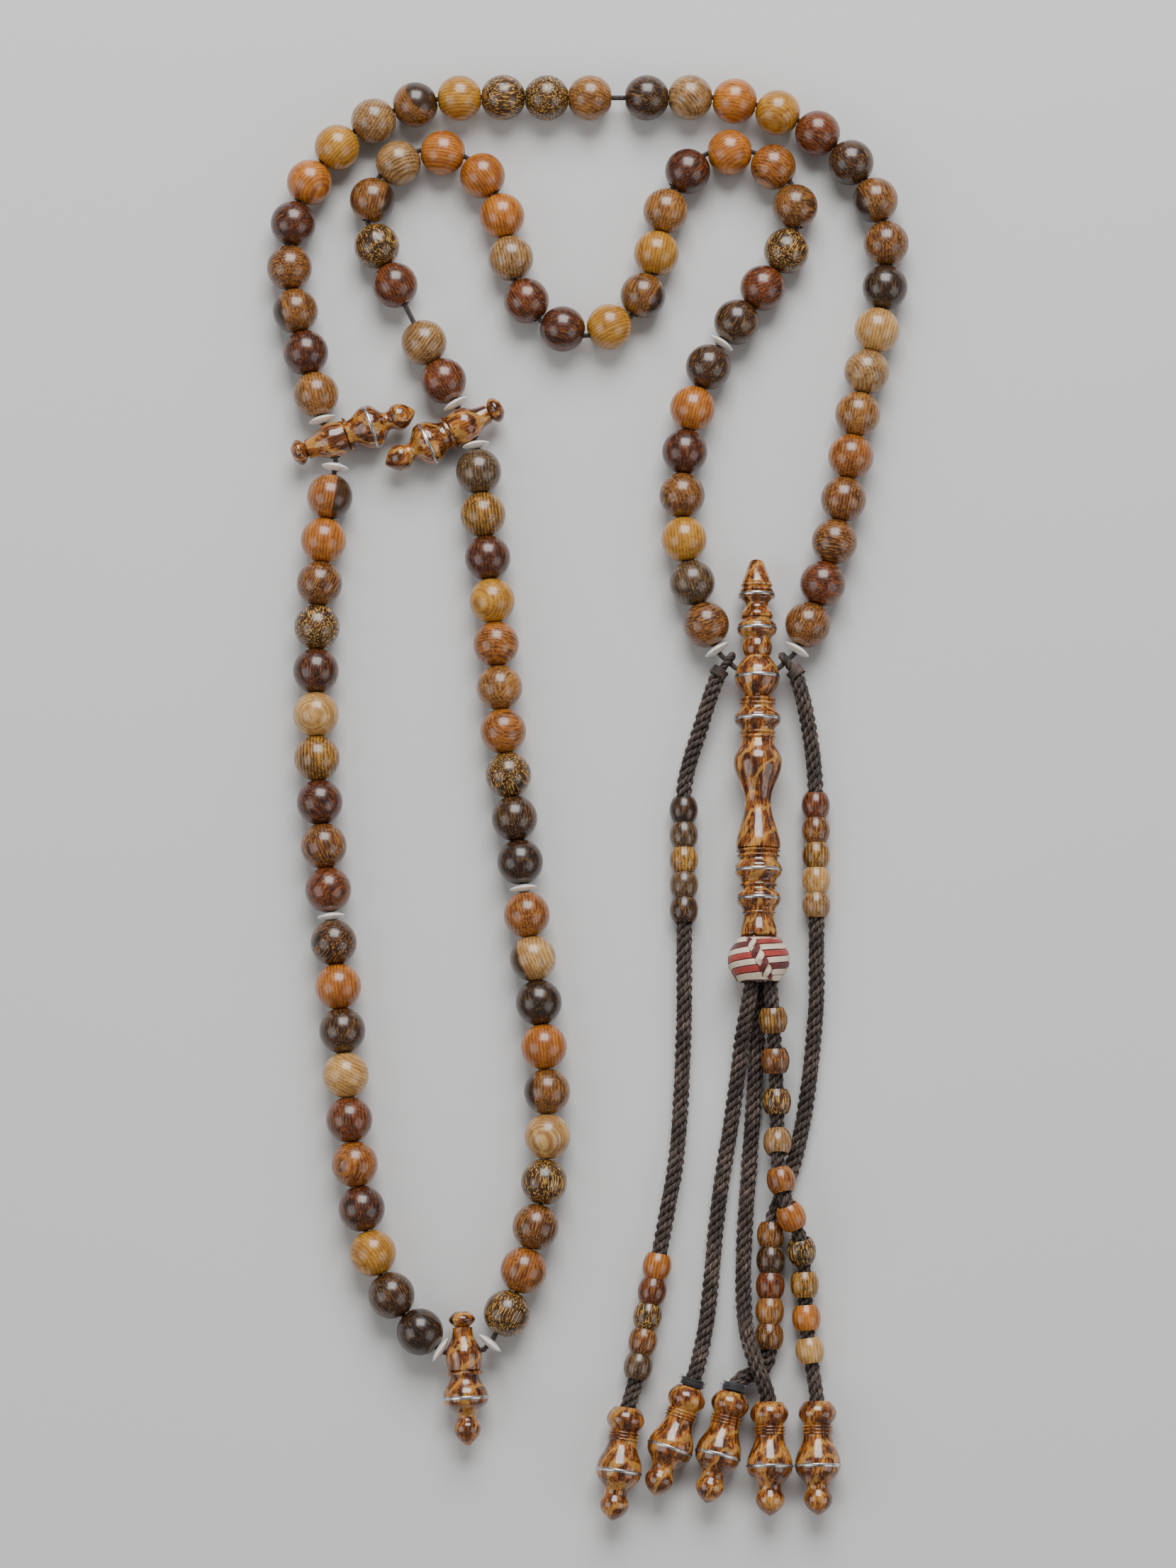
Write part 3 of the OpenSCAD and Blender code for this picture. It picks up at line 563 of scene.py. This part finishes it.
# fluffy black thread wound round two cords at the mouths of their end pieces
winding = {"turns": 5, "layers": 2, "radius": 1.62, "thread": 0.17, "layerGap": 0.2, "layerLag": 2.4,
           "hem": 0.4, "hairs": 90, "hair": 0.02, "hairRoot": 1.8, "hairReach": (0.3, 0.8), "seed": 31}
threads = []
fluff = np.random.default_rng(winding["seed"])
for solid in solids("thread_bindings"):
    vectors = np.linalg.eigh(np.cov((solid - solid.mean(0)).T))[1]
    centre = middleOf(solid) / mm
    spread = np.ptp((solid - solid.mean(0)) @ vectors, axis=0) / mm
    axis = vectors[:, int(np.argmin(spread))]
    acrossWay = unit(np.cross(axis, straightUp))
    upWay = np.cross(axis, acrossWay)
    t = np.linspace(0, 1, winding["turns"] * 20)
    for layer in range(winding["layers"]):
        angle = 2 * math.pi * winding["turns"] * t + winding["layerLag"] * layer
        offset = acrossWay * np.cos(angle)[:, None] + upWay * np.sin(angle)[:, None]
        # the layers cross, since every other one is wound back
        reach = (t - 0.5) * (spread.min() - winding["hem"]) * (1 - 2 * layer) + 0.16 * np.sin(angle + layer)
        lifted = winding["radius"] + winding["layerGap"] * layer + 0.06 * np.sin(angle * 0.37)
        threads.append(tubeAlong(centre + axis * reach[:, None] + offset * lifted[:, None],
                                 winding["thread"], 6, offset))
    for _ in range(winding["hairs"]):
        angle = fluff.uniform(0, 2 * math.pi)
        out = acrossWay * math.cos(angle) + upWay * math.sin(angle)
        lean = axis * fluff.normal(0, 0.5) + np.cross(axis, out) * fluff.normal(0, 0.5)
        run = np.linspace(0, fluff.uniform(*winding["hairReach"]), 4)[:, None]
        line = centre + axis * fluff.uniform(-0.7, 0.7) + out * (winding["hairRoot"] + run) + lean * run
        threads.append(tubeAlong(line, winding["hair"], 3, np.tile(np.cross(axis, out), (4, 1))))
piece = threadsPiece("wound_bindings", pressedFlat(threads), blackYarn)
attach(piece, "strand")
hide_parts("thread_bindings")
print("eyes and bindings done")


# woven knot

knot = {"seams": 3, "rows": 7, "threads": 6, "thread": 0.105, "pitch": 0.155, "edge": 3.45, "belly": 5.4,
        "half": 3.9, "span": 6.3, "gap": 13, "slope": 0.5, "inset": 0.12, "tuck": 0.32, "points": 22,
        "hem": 3.75, "hemPitch": 0.2, "meanRadius": 5}
# the bundles that cross down each seam: its lean in degrees per mm, and their sway to each side of it
seamWork = {"lean": 6.5, "half": 3.55, "sway": 5.5, "crossing": 2.5, "rise": 0.2, "threads": 6,
            "pitch": 0.17, "points": 90}


def knotRadius(a):
    return knot["edge"] + (knot["belly"] - knot["edge"]) * np.cos(a / knot["half"] * math.pi / 2)


def knotBand(thetas, places, lift, count, pitch=knot["pitch"]):
    # a flat bundle of threads on the knot's barrel; thetas in degrees, places along its axis
    made = []
    low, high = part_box("woven_knot")
    middle = np.array((low + high) / 2) / mm
    roundWay, alongWay = np.gradient(np.radians(thetas) * knot["meanRadius"]), np.gradient(places)
    length = np.hypot(roundWay, alongWay) + 1e-9
    for one in range(count):
        shift = (one - (count - 1) / 2) * pitch
        a = places + shift * roundWay / length
        t = np.radians(thetas) - shift * alongWay / length / knot["meanRadius"]
        radius = knotRadius(np.clip(a, -knot["half"], knot["half"])) - knot["inset"] + lift
        out = np.stack([np.cos(t), np.zeros_like(t), np.sin(t)], 1)
        line = middle + out * radius[:, None] - np.array([0, 1.0, 0]) * a[:, None]
        made.append(tubeAlong(line, knot["thread"], 5, out))
    return made


threads, bandColours = [], []
# crimson 0, maroon 1 and cream 2, from the tower down, for the bands after each seam
bandRows = [[2, 1, 2, 0, 2, 0, 2], [0, 2, 1, 2, 0, 2, 0], [0, 2, 0, 2, 1, 2, 2]]
sector = 360 // knot["seams"]
for seam in range(knot["seams"]):
    start = 90 + seam * sector
    for row in range(knot["rows"]):
        level = -knot["span"] / 2 + row * knot["span"] / (knot["rows"] - 1)
        leaning = start - seamWork["lean"] * level
        thetas = np.linspace(leaning + knot["gap"], leaning + sector - knot["gap"], knot["points"])
        middlePart = np.linspace(-1, 1, knot["points"])
        places = level + knot["slope"] * middlePart * (1 - abs(level) / 6)
        lift = -knot["tuck"] * np.clip(np.abs(middlePart) * 6 - 5, 0, 1)
        made = knotBand(thetas, places, lift, knot["threads"])
        threads += made
        bandColours += [bandRows[seam][row]] * len(made)
    # a cream and a maroon bundle cross over and under each other down the leaning seam
    places = np.linspace(-seamWork["half"], seamWork["half"], seamWork["points"])
    for colour, ahead in ((2, 0.0), (1, math.pi)):
        phase = 2 * math.pi * places / seamWork["crossing"] + ahead
        thetas = start - seamWork["lean"] * places + seamWork["sway"] * np.sin(phase)
        made = knotBand(thetas, places, 0.02 + seamWork["rise"] * np.cos(phase), seamWork["threads"],
                        seamWork["pitch"])
        threads += made
        bandColours += [colour] * len(made)
for end in (-1, 1):
    for one in range(3):
        thetas = np.linspace(0, 360, 60)
        made = knotBand(thetas, np.full(60, end * (knot["hem"] - one * knot["hemPitch"])), 0.0, 1)
        threads += made
        bandColours += [2 if one else 1] * len(made)
piece = threadsPiece("woven_thread_knot", threads, [crimsonYarn, maroonYarn, creamYarn], bandColours)
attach(piece, "strand")
print("knot woven")


# turned shapes, modelled once each about the Z axis and then copied into place

def turnedShape(name, outline, steps, smoothAngle=40):
    # one point is pushed along the outline in mm and the line is spun into a solid
    clearSelection()
    bpy.ops.mesh.primitive_plane_add(size=mm)
    bpy.ops.object.mode_set(mode="EDIT")
    bpy.ops.mesh.select_mode(type="VERT")
    bpy.ops.mesh.merge(type="CENTER")
    bpy.ops.transform.translate(value=(outline[0][0] * mm, 0, outline[0][1] * mm))
    for (r0, z0), (r1, z1) in zip(outline, outline[1:]):
        bpy.ops.mesh.extrude_region_move(
            TRANSFORM_OT_translate={"value": ((r1 - r0) * mm, 0, (z1 - z0) * mm)})
    bpy.ops.mesh.select_all(action="SELECT")
    bpy.ops.mesh.spin(steps=steps, angle=2 * math.pi, center=(0, 0, 0), axis=(0, 0, 1))
    bpy.ops.mesh.select_all(action="SELECT")
    bpy.ops.mesh.remove_doubles(threshold=4e-6)
    bpy.ops.mesh.normals_make_consistent(inside=False)
    bpy.ops.object.mode_set(mode="OBJECT")
    shape = bpy.context.object
    shape.name = name
    bpy.ops.object.shade_smooth_by_angle(angle=math.radians(smoothAngle))
    return shape


def arc(radius, height, count, centreR=0.0):
    # outline of a round belly between two heights
    reach = math.asin(height / radius)
    angles = [-reach + 2 * reach * k / count for k in range(count + 1)]
    return [(centreR + radius * math.cos(a), radius * math.sin(a)) for a in angles]


def bulge(z0, z1, edge, belly, n=6):
    return [(edge + (belly - edge) * math.sin(math.pi * k / n), z0 + (z1 - z0) * k / n)
            for k in range(n + 1)]


def eased(z0, r0, z1, r1, n=5):
    return [(r0 + (r1 - r0) * (1 - math.cos(math.pi * k / n)) / 2, z0 + (z1 - z0) * k / n)
            for k in range(n + 1)]


def stretchedOutline(outline, factor):
    return [(r, z * factor) for r, z in outline]


def placedCopy(shape, place, grainTurn, grainMove, tone=None):
    # a copy with its own mesh, moved into place, and its wood's grain kept as an attribute
    copy = shape.copy()
    copy.data = shape.data.copy()
    bpy.context.scene.collection.objects.link(copy)
    own = np.zeros(len(copy.data.vertices) * 3, np.float32)
    copy.data.vertices.foreach_get("co", own)
    own = own.reshape(-1, 3) / mm
    turned = own @ np.array(grainTurn.to_3x3()).T
    keepOnPoints(copy.data, "grain", "FLOAT_VECTOR", "vector", turned + np.array(grainMove))
    if tone:
        keepOnPoints(copy.data, "lean", "FLOAT_VECTOR", "vector", turned)
        for key in ("light", "dark", "fleck"):
            keepOnPoints(copy.data, key, "FLOAT_COLOR", "color",
                         np.tile((*shade(tone[key]), 1.0), len(own)))
        for key in ("fleckAmount", "edge"):
            keepOnPoints(copy.data, key, "FLOAT", "value", np.full(len(own), tone.get(key, noHeart)))
    copy.data.transform(place)
    return copy


def joined(name, copies, material, body, slotName, *nodes):
    clearSelection()
    for one in copies:
        one.select_set(True)
    bpy.context.view_layer.objects.active = copies[0]
    if len(copies) > 1:
        bpy.ops.object.join()
    piece = bpy.context.view_layer.objects.active
    piece.name = piece.data.name = name
    piece.data.materials.clear()
    piece.data.materials.append(material)
    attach(piece, body)
    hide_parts(*nodes)
    return piece


def drilled(shape, at, diameter):
    # the hole that the string passes through
    clearSelection()
    bpy.ops.mesh.primitive_cylinder_add(vertices=24, radius=diameter / 2 * mm, depth=12 * mm,
                                        location=(0, 0, at * mm), rotation=(0, math.pi / 2, 0))
    bit = bpy.context.object
    selectOnly(shape)
    cut = shape.modifiers.new("hole", "BOOLEAN")
    cut.operation, cut.object, cut.solver = "DIFFERENCE", bit, "EXACT"
    bpy.ops.object.modifier_apply(modifier="hole")
    bpy.data.objects.remove(bit)
    return shape


# beads

noHeart = 9
# light and dark wood, the colour and amount of the short dashes, and where any dark heart starts
toneTable = {
    "orangeTan": ("bd7426", "8a4a16", "5c2c0e", 0.35),
    "goldenTan": ("c08a30", "94601c", "68400f", 0.3),
    "paleTan": ("c99c5c", "9c7038", "6e4a20", 0.3),
    "beige": ("a07848", "664424", "c4a068", 0.4),
    "orangeBrown": ("9c5a1e", "5e300e", "c88a38", 0.4),
    "lightBrown": ("94602a", "5c3614", "c49048", 0.45),
    "midBrown": ("7a461c", "3c1e0c", "bc8638", 0.5),
    "redBrown": ("6e3414", "35140a", "a86426", 0.45),
    "darkRed": ("4c200f", "200c07", "94541f", 0.5),
    "darkBrown": ("422411", "1c0d07", "946a32", 0.5),
    "goldFlecked": ("4e2c10", "211106", "cc9c48", 0.85),
    "veryDark": ("2a160c", "120805", "7c5628", 0.45),
    "greyBrown": ("5a4028", "2e1f14", "9c8050", 0.45),
    "goldStriped": ("b88534", "5c3812", "2c1808", 0.9),
    "halfDark": ("b0702c", "763f16", "4c260c", 0.35, 1.6),
    "halfPale": ("c8a060", "96683a", "6e4824", 0.3, 1.9),
    "darkStriped": ("3c1d0e", "180b06", "a8702e", 0.7),
    "darkEdge": ("804c1e", "4a2a10", "b88a3c", 0.4, 2.9),
}
toneParts = ("light", "dark", "fleck", "fleckAmount", "edge")
tones = {name: dict(zip(toneParts, row)) for name, row in toneTable.items()}

beads = {"diameter": 8, "length": 7.6, "bore": 1.6, "chamfer": 0.1, "chamferDepth": 0.12,
         "endRing": (3.84, 3.93), "steps": 32, "seed": 887}
dice = random.Random(beads["seed"])


def wholeTurn():
    # grain runs near the bore in most beads and any way through the others
    if dice.random() < 0.6:
        return Matrix.Rotation(dice.uniform(-0.35, 0.35), 3, "X")
    axis = Vector((dice.gauss(0, 1), dice.gauss(0, 1), dice.gauss(0, 1))).normalized()
    return Matrix.Rotation(dice.uniform(0, 2 * math.pi), 3, axis)


def farAway():
    return [dice.uniform(-400, 400) for _ in range(3)]


half, bore = beads["length"] / 2, beads["bore"] / 2
beadOutline = [(bore, -half + beads["chamferDepth"]), (bore + beads["chamfer"], -half)]
beadOutline += arc(beads["diameter"] / 2, half, 16)
beadOutline += [(bore + beads["chamfer"], half), (bore, half - beads["chamferDepth"]), beadOutline[0]]
beadShape = turnedShape("beadShape", beadOutline, beads["steps"])

groups = {
    "left_strand_upper_ten": ["halfDark", "orangeTan", "midBrown", "goldFlecked", "darkRed", "paleTan",
                              "goldStriped", "darkRed", "midBrown", "redBrown"],
    "left_strand_lower_ten": ["darkStriped", "orangeTan", "darkBrown", "paleTan", "redBrown", "orangeBrown",
                              "darkRed", "goldenTan", "darkBrown", "veryDark"],
    "right_strand_lower_ten": ["goldFlecked", "orangeBrown", "midBrown", "goldFlecked", "halfPale",
                               "darkEdge", "orangeTan", "veryDark", "halfPale", "orangeBrown"],
    "right_strand_upper_ten": ["veryDark", "darkBrown", "goldFlecked", "orangeBrown", "lightBrown",
                               "orangeBrown", "goldenTan", "darkRed", "goldStriped", "greyBrown"],
    "tower_left_seven_beads": ["midBrown", "greyBrown", "goldenTan", "darkEdge", "darkRed", "orangeTan",
                               "darkBrown"],
    "outer_arch_right_beads": ["midBrown", "redBrown", "midBrown", "midBrown", "orangeBrown", "lightBrown",
                               "beige", "paleTan", "veryDark", "midBrown"],
    "outer_arch_left_beads": [], "inner_arch_beads": [], "right_separator_bead": ["redBrown"],
    "inner_sliding_bead": ["beige"], "outer_sliding_bead": ["lightBrown"],
}
archMiddle = np.array([0, 0.07])
risingGroups = ("right_strand_lower_ten", "right_strand_upper_ten", "tower_left_seven_beads")
slidingBodies = {"inner_sliding_bead": "inner_bead_body", "outer_sliding_bead": "outer_bead_body"}
anyTone = ["midBrown", "orangeBrown", "darkBrown", "redBrown", "lightBrown", "orangeTan", "goldFlecked",
           "goldenTan", "darkRed", "beige", "halfDark", "darkEdge"]

for node, listed in groups.items():
    found = solids(node)
    if node.startswith("outer_arch_right"):
        found.sort(key=lambda p: math.atan2(*(middleOf(p)[:2] - archMiddle)[::-1]))
    elif node in risingGroups:
        found.sort(key=lambda p: middleOf(p)[1])
    else:
        found.sort(key=lambda p: -middleOf(p)[1])
    copies = []
    for index, points in enumerate(found):
        name = listed[index] if index < len(listed) else dice.choice(anyTone)
        place = placeAlong(middleOf(points), boreAxis(points, *beads["endRing"]))
        copies.append(placedCopy(beadShape, place, wholeTurn(), farAway(), tones[name]))
    joined("wooden_" + node, copies, beadWood, slidingBodies.get(node, "strand"), "bead_wood", node)
bpy.data.objects.remove(beadShape)
print("beads strung")


# counters

counters = {"diameter": 5, "length": 4.3, "bore": 3, "flat": 3.6, "endRing": (2.7, 2.9), "steps": 24}
rise = (counters["diameter"] - counters["flat"]) / 2
barrel = ((counters["length"] / 2) ** 2 + rise ** 2) / (2 * rise)
counterOutline = [(counters["bore"] / 2, -counters["length"] / 2)]
counterOutline += arc(barrel, counters["length"] / 2, 10, counters["diameter"] / 2 - barrel)
counterOutline += [(counters["bore"] / 2, counters["length"] / 2), counterOutline[0]]
counterShape = turnedShape("counterShape", counterOutline, counters["steps"])

packs = {
    "left_upper_counters": ["veryDark", "greyBrown", "goldStriped", "greyBrown", "darkBrown"],
    "left_lower_counters": ["orangeTan", "redBrown", "goldFlecked", "midBrown", "greyBrown"],
    "right_upper_counters": ["redBrown", "midBrown", "goldStriped", "paleTan", "beige"],
    "right_lower_counters": ["midBrown", "darkBrown", "redBrown", "lightBrown", "midBrown"],
}
centreTen = ["goldStriped", "midBrown", "goldFlecked", "beige", "orangeBrown", "orangeTan", "goldFlecked",
             "goldStriped", "orangeTan", "paleTan"]
packs.update({f"counter_{i + 1}": [name] for i, name in enumerate(centreTen)})

for node, listed in packs.items():
    copies = []
    for points, name in zip(sorted(solids(node), key=lambda p: -middleOf(p)[1]), listed):
        place = placeAlong(middleOf(points), boreAxis(points, *counters["endRing"]))
        nearBore = Matrix.Rotation(dice.uniform(-0.25, 0.25), 3, "X")
        copies.append(placedCopy(counterShape, place, nearBore, farAway(), tones[name]))
    joined("turned_" + node, copies, beadWood, node + "_body", "counter_wood", node)
bpy.data.objects.remove(counterShape)
print("counters threaded")


# spacers

spacer = {"diameter": 4.7, "thickness": 1.5, "bore": 1.3, "lens": 5, "rim": 0.04, "outside": (1.5, 9),
          "steps": 40}
lens = ((spacer["lens"] / 2) ** 2 + (spacer["thickness"] / 2) ** 2) / spacer["thickness"]
rimHeight = math.sqrt(lens ** 2 - (spacer["diameter"] / 2) ** 2) - (lens - spacer["thickness"] / 2)
radii = np.linspace(spacer["bore"] / 2, spacer["diameter"] / 2, 9)
upper = [(r, math.sqrt(lens ** 2 - r ** 2) - (lens - spacer["thickness"] / 2)) for r in radii]
rim = [(spacer["diameter"] / 2 + spacer["rim"] * math.cos(a), rimHeight * math.sin(a))
       for a in (0.8, 0.0, -0.8)]
spacerOutline = upper + rim + [(r, -z) for r, z in reversed(upper)] + [upper[0]]
spacerShape = turnedShape("spacerShape", spacerOutline, spacer["steps"])
copies = []
for points in solids("spacer_discs"):
    axis = boreAxis(points, *spacer["outside"], flat=True)
    copies.append(placedCopy(spacerShape, placeAlong(middleOf(points), axis), Matrix.Identity(3), (0, 0, 0)))
joined("ivory_spacers", copies, ivorySpacer, "strand", "spacers", "spacer_discs")
bpy.data.objects.remove(spacerShape)
print("spacers set")


# figured wood with silver rings

ringSize = {"height": 0.6, "proud": 0.12, "deep": 0.2, "round": 0.1, "steps": 72}


def figuredPiece(name, shape, place, body, node):
    # the grain runs along the turned piece, which is cut from a place of its own in the wood
    joined(name, [placedCopy(shape, place, Matrix.Identity(3), farAway())], figuredWood, body,
           "figured_wood", node)


def ringShape(radius):
    inner, outer = radius - ringSize["deep"], radius + ringSize["proud"] - ringSize["round"]
    tall = ringSize["height"] / 2
    face = [(outer + ringSize["round"] * math.cos(a), tall * math.sin(a))
            for a in np.linspace(-math.pi / 2, math.pi / 2, 7)]
    outline = [(inner, -tall)] + face + [(inner, tall), (inner, -tall)]
    return turnedShape("ringShape", outline, ringSize["steps"], 60)


def ringsPiece(name, node, body, radii, place):
    copies = []
    for height, radius in radii:
        shape = ringShape(radius)
        shift = place @ Matrix.Translation((0, 0, height * mm))
        copies.append(placedCopy(shape, shift, Matrix.Identity(3), farAway()))
        bpy.data.objects.remove(shape)
    joined(name, copies, silverWire, body, "silver", node)


# tower

tower = {"stretch": 1.03, "hole": 18.55, "crossBore": 1.8, "bore": 2.4, "pastHole": 2, "steps": 72,
         "rings": [(6.05, 3.15), (11.8, 3.42), (20.05, 3.9), (27.3, 4), (53, 4.08), (57.8, 3.8)]}
towerOutline = [(0, 0), (0.95, 0), (1.25, 0.3), (2.6, 3.9)]
towerOutline += bulge(4.0, 4.75, 2.5, 2.8) + bulge(4.85, 5.55, 2.55, 2.9) + [(3.15, 5.6), (3.15, 6.5)]
towerOutline += eased(6.6, 2.75, 7.6, 2.05) + eased(7.8, 2.05, 9.5, 2.85, 8) + [(2.95, 9.6), (2.95, 9.9)]
towerOutline += eased(10, 2.65, 11.3, 3.42) + [(3.42, 12.3)] + eased(12.4, 3.34, 13.7, 2.35, 7)
towerOutline += bulge(13.8, 16.3, 2.35, 2.68, 8) + bulge(16.5, 23.6, 2.2, 3.93, 22)
towerOutline += bulge(23.7, 24.35, 2.95, 3.3) + bulge(24.4, 25.1, 2.95, 3.3)
towerOutline += eased(25.3, 2.95, 26.9, 4, 7) + [(4, 27.7)] + eased(27.8, 3.95, 29.1, 3)
towerOutline += bulge(29.3, 30, 2.9, 3.25) + bulge(30.05, 30.8, 2.9, 3.25)
towerOutline += eased(30.9, 2.95, 34.5, 4.25, 12) + eased(34.7, 4.25, 41.4, 2.35, 16)
towerOutline += eased(41.6, 2.35, 48.9, 3.88, 14) + [(3.88, 49.3)] + bulge(49.4, 50.1, 3.5, 3.9)
towerOutline += bulge(50.2, 51, 3.4, 3.8) + eased(51.1, 3.4, 52.5, 4.08, 6) + [(4.08, 53.5)]
towerOutline += eased(53.6, 4, 54.9, 3.1, 6) + bulge(55, 56, 2.95, 3.35) + eased(56.1, 3, 57.3, 3.8)
towerOutline += [(3.8, 58.3)] + eased(58.4, 3.7, 59.8, 2.85) + bulge(59.9, 60.5, 2.75, 3)
towerOutline += eased(60.6, 2.65, 63.6, 3.25, 7) + [(3.25, 63.95), (3, 64.2)]
boreTop = tower["hole"] - tower["pastHole"] / tower["stretch"]
towerOutline += [(tower["bore"] / 2, 64.2), (tower["bore"] / 2, boreTop), (0, boreTop)]
towerShape = turnedShape("towerShape", stretchedOutline(towerOutline, tower["stretch"]), tower["steps"], 30)
drilled(towerShape, tower["hole"] * tower["stretch"], tower["crossBore"])

ringMiddles = sorted((middleOf(p) for p in solids("tower_rings")), key=lambda c: -c[1])
downTower = unit(ringMiddles[-1] - ringMiddles[0])
tip = ringMiddles[0] - downTower * tower["rings"][0][0] * tower["stretch"] * mm
towerPlace = placeAlong(tip, downTower)
figuredPiece("turned_tower", towerShape, towerPlace, "strand", "tower")
bpy.data.objects.remove(towerShape)
ringsPiece("silver_tower_rings", "tower_rings", "strand",
           [(at * tower["stretch"], radius) for at, radius in tower["rings"]], towerPlace)
print("tower turned")


# markers: two separators and the pendant

marker = {"length": 22.9, "hole": 7, "crossBore": 1.8, "ring": (14.7, 3.85), "steps": 64}
markerOutline = [(0, 0), (0.5, 0)] + bulge(0.1, 2.7, 1.2, 2.3, 10) + eased(2.8, 1.7, 3.6, 1.75, 3)
markerOutline += eased(3.8, 1.8, 7.3, 3.15, 10) + eased(7.5, 3.15, 9.9, 2.85, 8)
markerOutline += [(2.6, 10.15), (3.1, 10.3), (3.15, 10.42), (3.15, 10.7), (3.08, 10.82), (2.45, 11)]
markerOutline += eased(11.2, 2.5, 14.2, 3.87, 9) + [(3.87, 15.2)] + eased(15.3, 3.83, 17.8, 1.62, 9)
markerOutline += eased(18, 1.62, 19.6, 2.35, 7) + [(2.36, 20), (2.3, 20.4), (2.08, 21), (1.65, 21.6)]
markerOutline += [(1.05, 22.2), (0.5, 22.65), (0.15, 22.86), (0, marker["length"])]
markerShape = turnedShape("markerShape", markerOutline, marker["steps"], 30)
drilled(markerShape, marker["hole"], marker["crossBore"])

joints = {joint["name"]: joint for joint in frame["joints"]}
for node in ("left_separator", "right_separator", "pendant"):
    joint = joints[node + "_swing"]
    crossing = np.array(joint["pos_m"])
    forward = unit(middleOf(solids(node + "_ring")[0]) - crossing)
    start = crossing - forward * marker["hole"] * mm
    place = placeAlong(start, forward)
    figuredPiece("turned_" + node, markerShape, place, node + "_body", node)
    ringsPiece("silver_" + node + "_ring", node + "_ring", node + "_body", [marker["ring"]], place)
bpy.data.objects.remove(markerShape)
print("markers turned")


# finials at the ends of the cords

finial = {"stretch": 0.93, "ring": (11.7, 3.9), "socket": 3.1, "socketDepth": 7.5, "chamfer": 0.15,
          "steps": 64}
outer = [(2, 0)] + bulge(0.1, 4.3, 2.3, 3.3, 12) + bulge(4.35, 4.9, 2.5, 2.75) + bulge(4.95, 5.5, 2.5, 2.75)
outer += bulge(5.55, 6.1, 2.5, 2.75) + eased(6.2, 2.5, 11.2, 3.9, 12) + [(3.9, 12.2)]
outer += eased(12.3, 3.85, 15.7, 1.98, 10) + eased(15.9, 1.98, 17.5, 2.5, 7) + [(2.5, 17.9), (2.42, 18.3)]
outer += [(2.2, 18.9), (1.75, 19.55), (1.1, 20.1), (0.5, 20.5), (0.15, 20.66), (0, 20.7)]
finialOutline = stretchedOutline(outer, finial["stretch"])
socket = finial["socket"] / 2
finialOutline = [(0, finial["socketDepth"]), (socket, finial["socketDepth"]), (socket, finial["chamfer"]),
                 (socket + finial["chamfer"], 0)] + finialOutline
finialShape = turnedShape("finialShape", finialOutline, finial["steps"], 30)
for i in range(1, 6):
    joint = joints[f"finial_{i}_twist"]
    place = placeAlong(joint["pos_m"], joint["axis"])
    body = f"finial_{i}_body"
    figuredPiece(f"turned_finial_{i}", finialShape, place, body, f"finial_{i}")
    height, radius = finial["ring"]
    ringsPiece(f"silver_finial_ring_{i}", f"finial_ring_{i}", body, [(height * finial["stretch"], radius)],
               place)
bpy.data.objects.remove(finialShape)
print("finials turned")


# the knot's stuffing, under its woven bands

stuffing = {"drop": 0.3, "steps": 48, "bore": 6.7, "half": 3.4}
stuffingOutline = [(stuffing["bore"] / 2, -stuffing["half"])]
stuffingOutline += [(float(knotRadius(a)) - stuffing["drop"], a)
                    for a in np.linspace(-stuffing["half"], stuffing["half"], 18)]
stuffingOutline += [(stuffing["bore"] / 2, stuffing["half"]), stuffingOutline[0]]
stuffingShape = turnedShape("stuffingShape", stuffingOutline, stuffing["steps"])
low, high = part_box("woven_knot")
under = placedCopy(stuffingShape, placeAlong((low + high) / 2, (0, -1, 0)), Matrix.Identity(3), (0, 0, 0))
under.data.attributes.new("yarn", "FLOAT_VECTOR", "POINT")
bpy.data.objects.remove(stuffingShape)
joined("knot_stuffing", [under], maroonYarn, "strand", "woven_thread")
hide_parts("woven_knot")

# CAD pieces that keep their shape
for node, material in (("main_string", stringThread), ("knot_core", cordThread),
                       ("cord_end_knots", cordThread), ("left_cord_end_knot", cordThread)):
    mesh = frame["nodes"][node].data
    if len(mesh.materials):
        frame["nodes"][node].material_slots[0].material = material
    else:
        mesh.materials.append(material)
print("hidden pieces finished")


# floor and light

def floorMaterial():
    material, shader = newMaterial("paleFloor", roughness=0.75)
    cloud = noiseOn(material, ownCoordinates(material, (3, 3, 3)), detail=3)
    wire(material, ramped(material, cloud, [(0.3, 0.58), (0.7, 0.62)]), shader.inputs["Base Color"])
    return material


ground = {"size": 6, "drop": 0.00005}
clearSelection()
bpy.ops.mesh.primitive_plane_add(size=ground["size"], location=(0, 0, -ground["drop"]))
floor = bpy.context.object
floor.name = "floor"
floor.data.materials.append(floorMaterial())

lamps = {
    "highSoft": {"at": (0.05, 0.62, 0.62), "size": 0.6, "power": 11},
    "leftFill": {"at": (-0.75, -0.2, 0.6), "size": 0.7, "power": 3.2},
    "rightFill": {"at": (0.75, -0.35, 0.55), "size": 0.7, "power": 2.4},
}
for name, lamp in lamps.items():
    bpy.ops.object.light_add(type="AREA", location=lamp["at"])
    light = bpy.context.object
    light.name = name
    light.data.size = lamp["size"]
    light.data.energy = lamp["power"]
    light.rotation_euler = (-Vector(lamp["at"])).to_track_quat("-Z", "Y").to_euler()

room = {"colour": (1.0, 0.97, 0.93, 1), "strength": 0.24}
world = bpy.data.worlds.new("softRoom")
bpy.context.scene.world = world
world.use_nodes = True
world.node_tree.nodes["Background"].inputs["Color"].default_value = room["colour"]
world.node_tree.nodes["Background"].inputs["Strength"].default_value = room["strength"]
print("floor and light set")
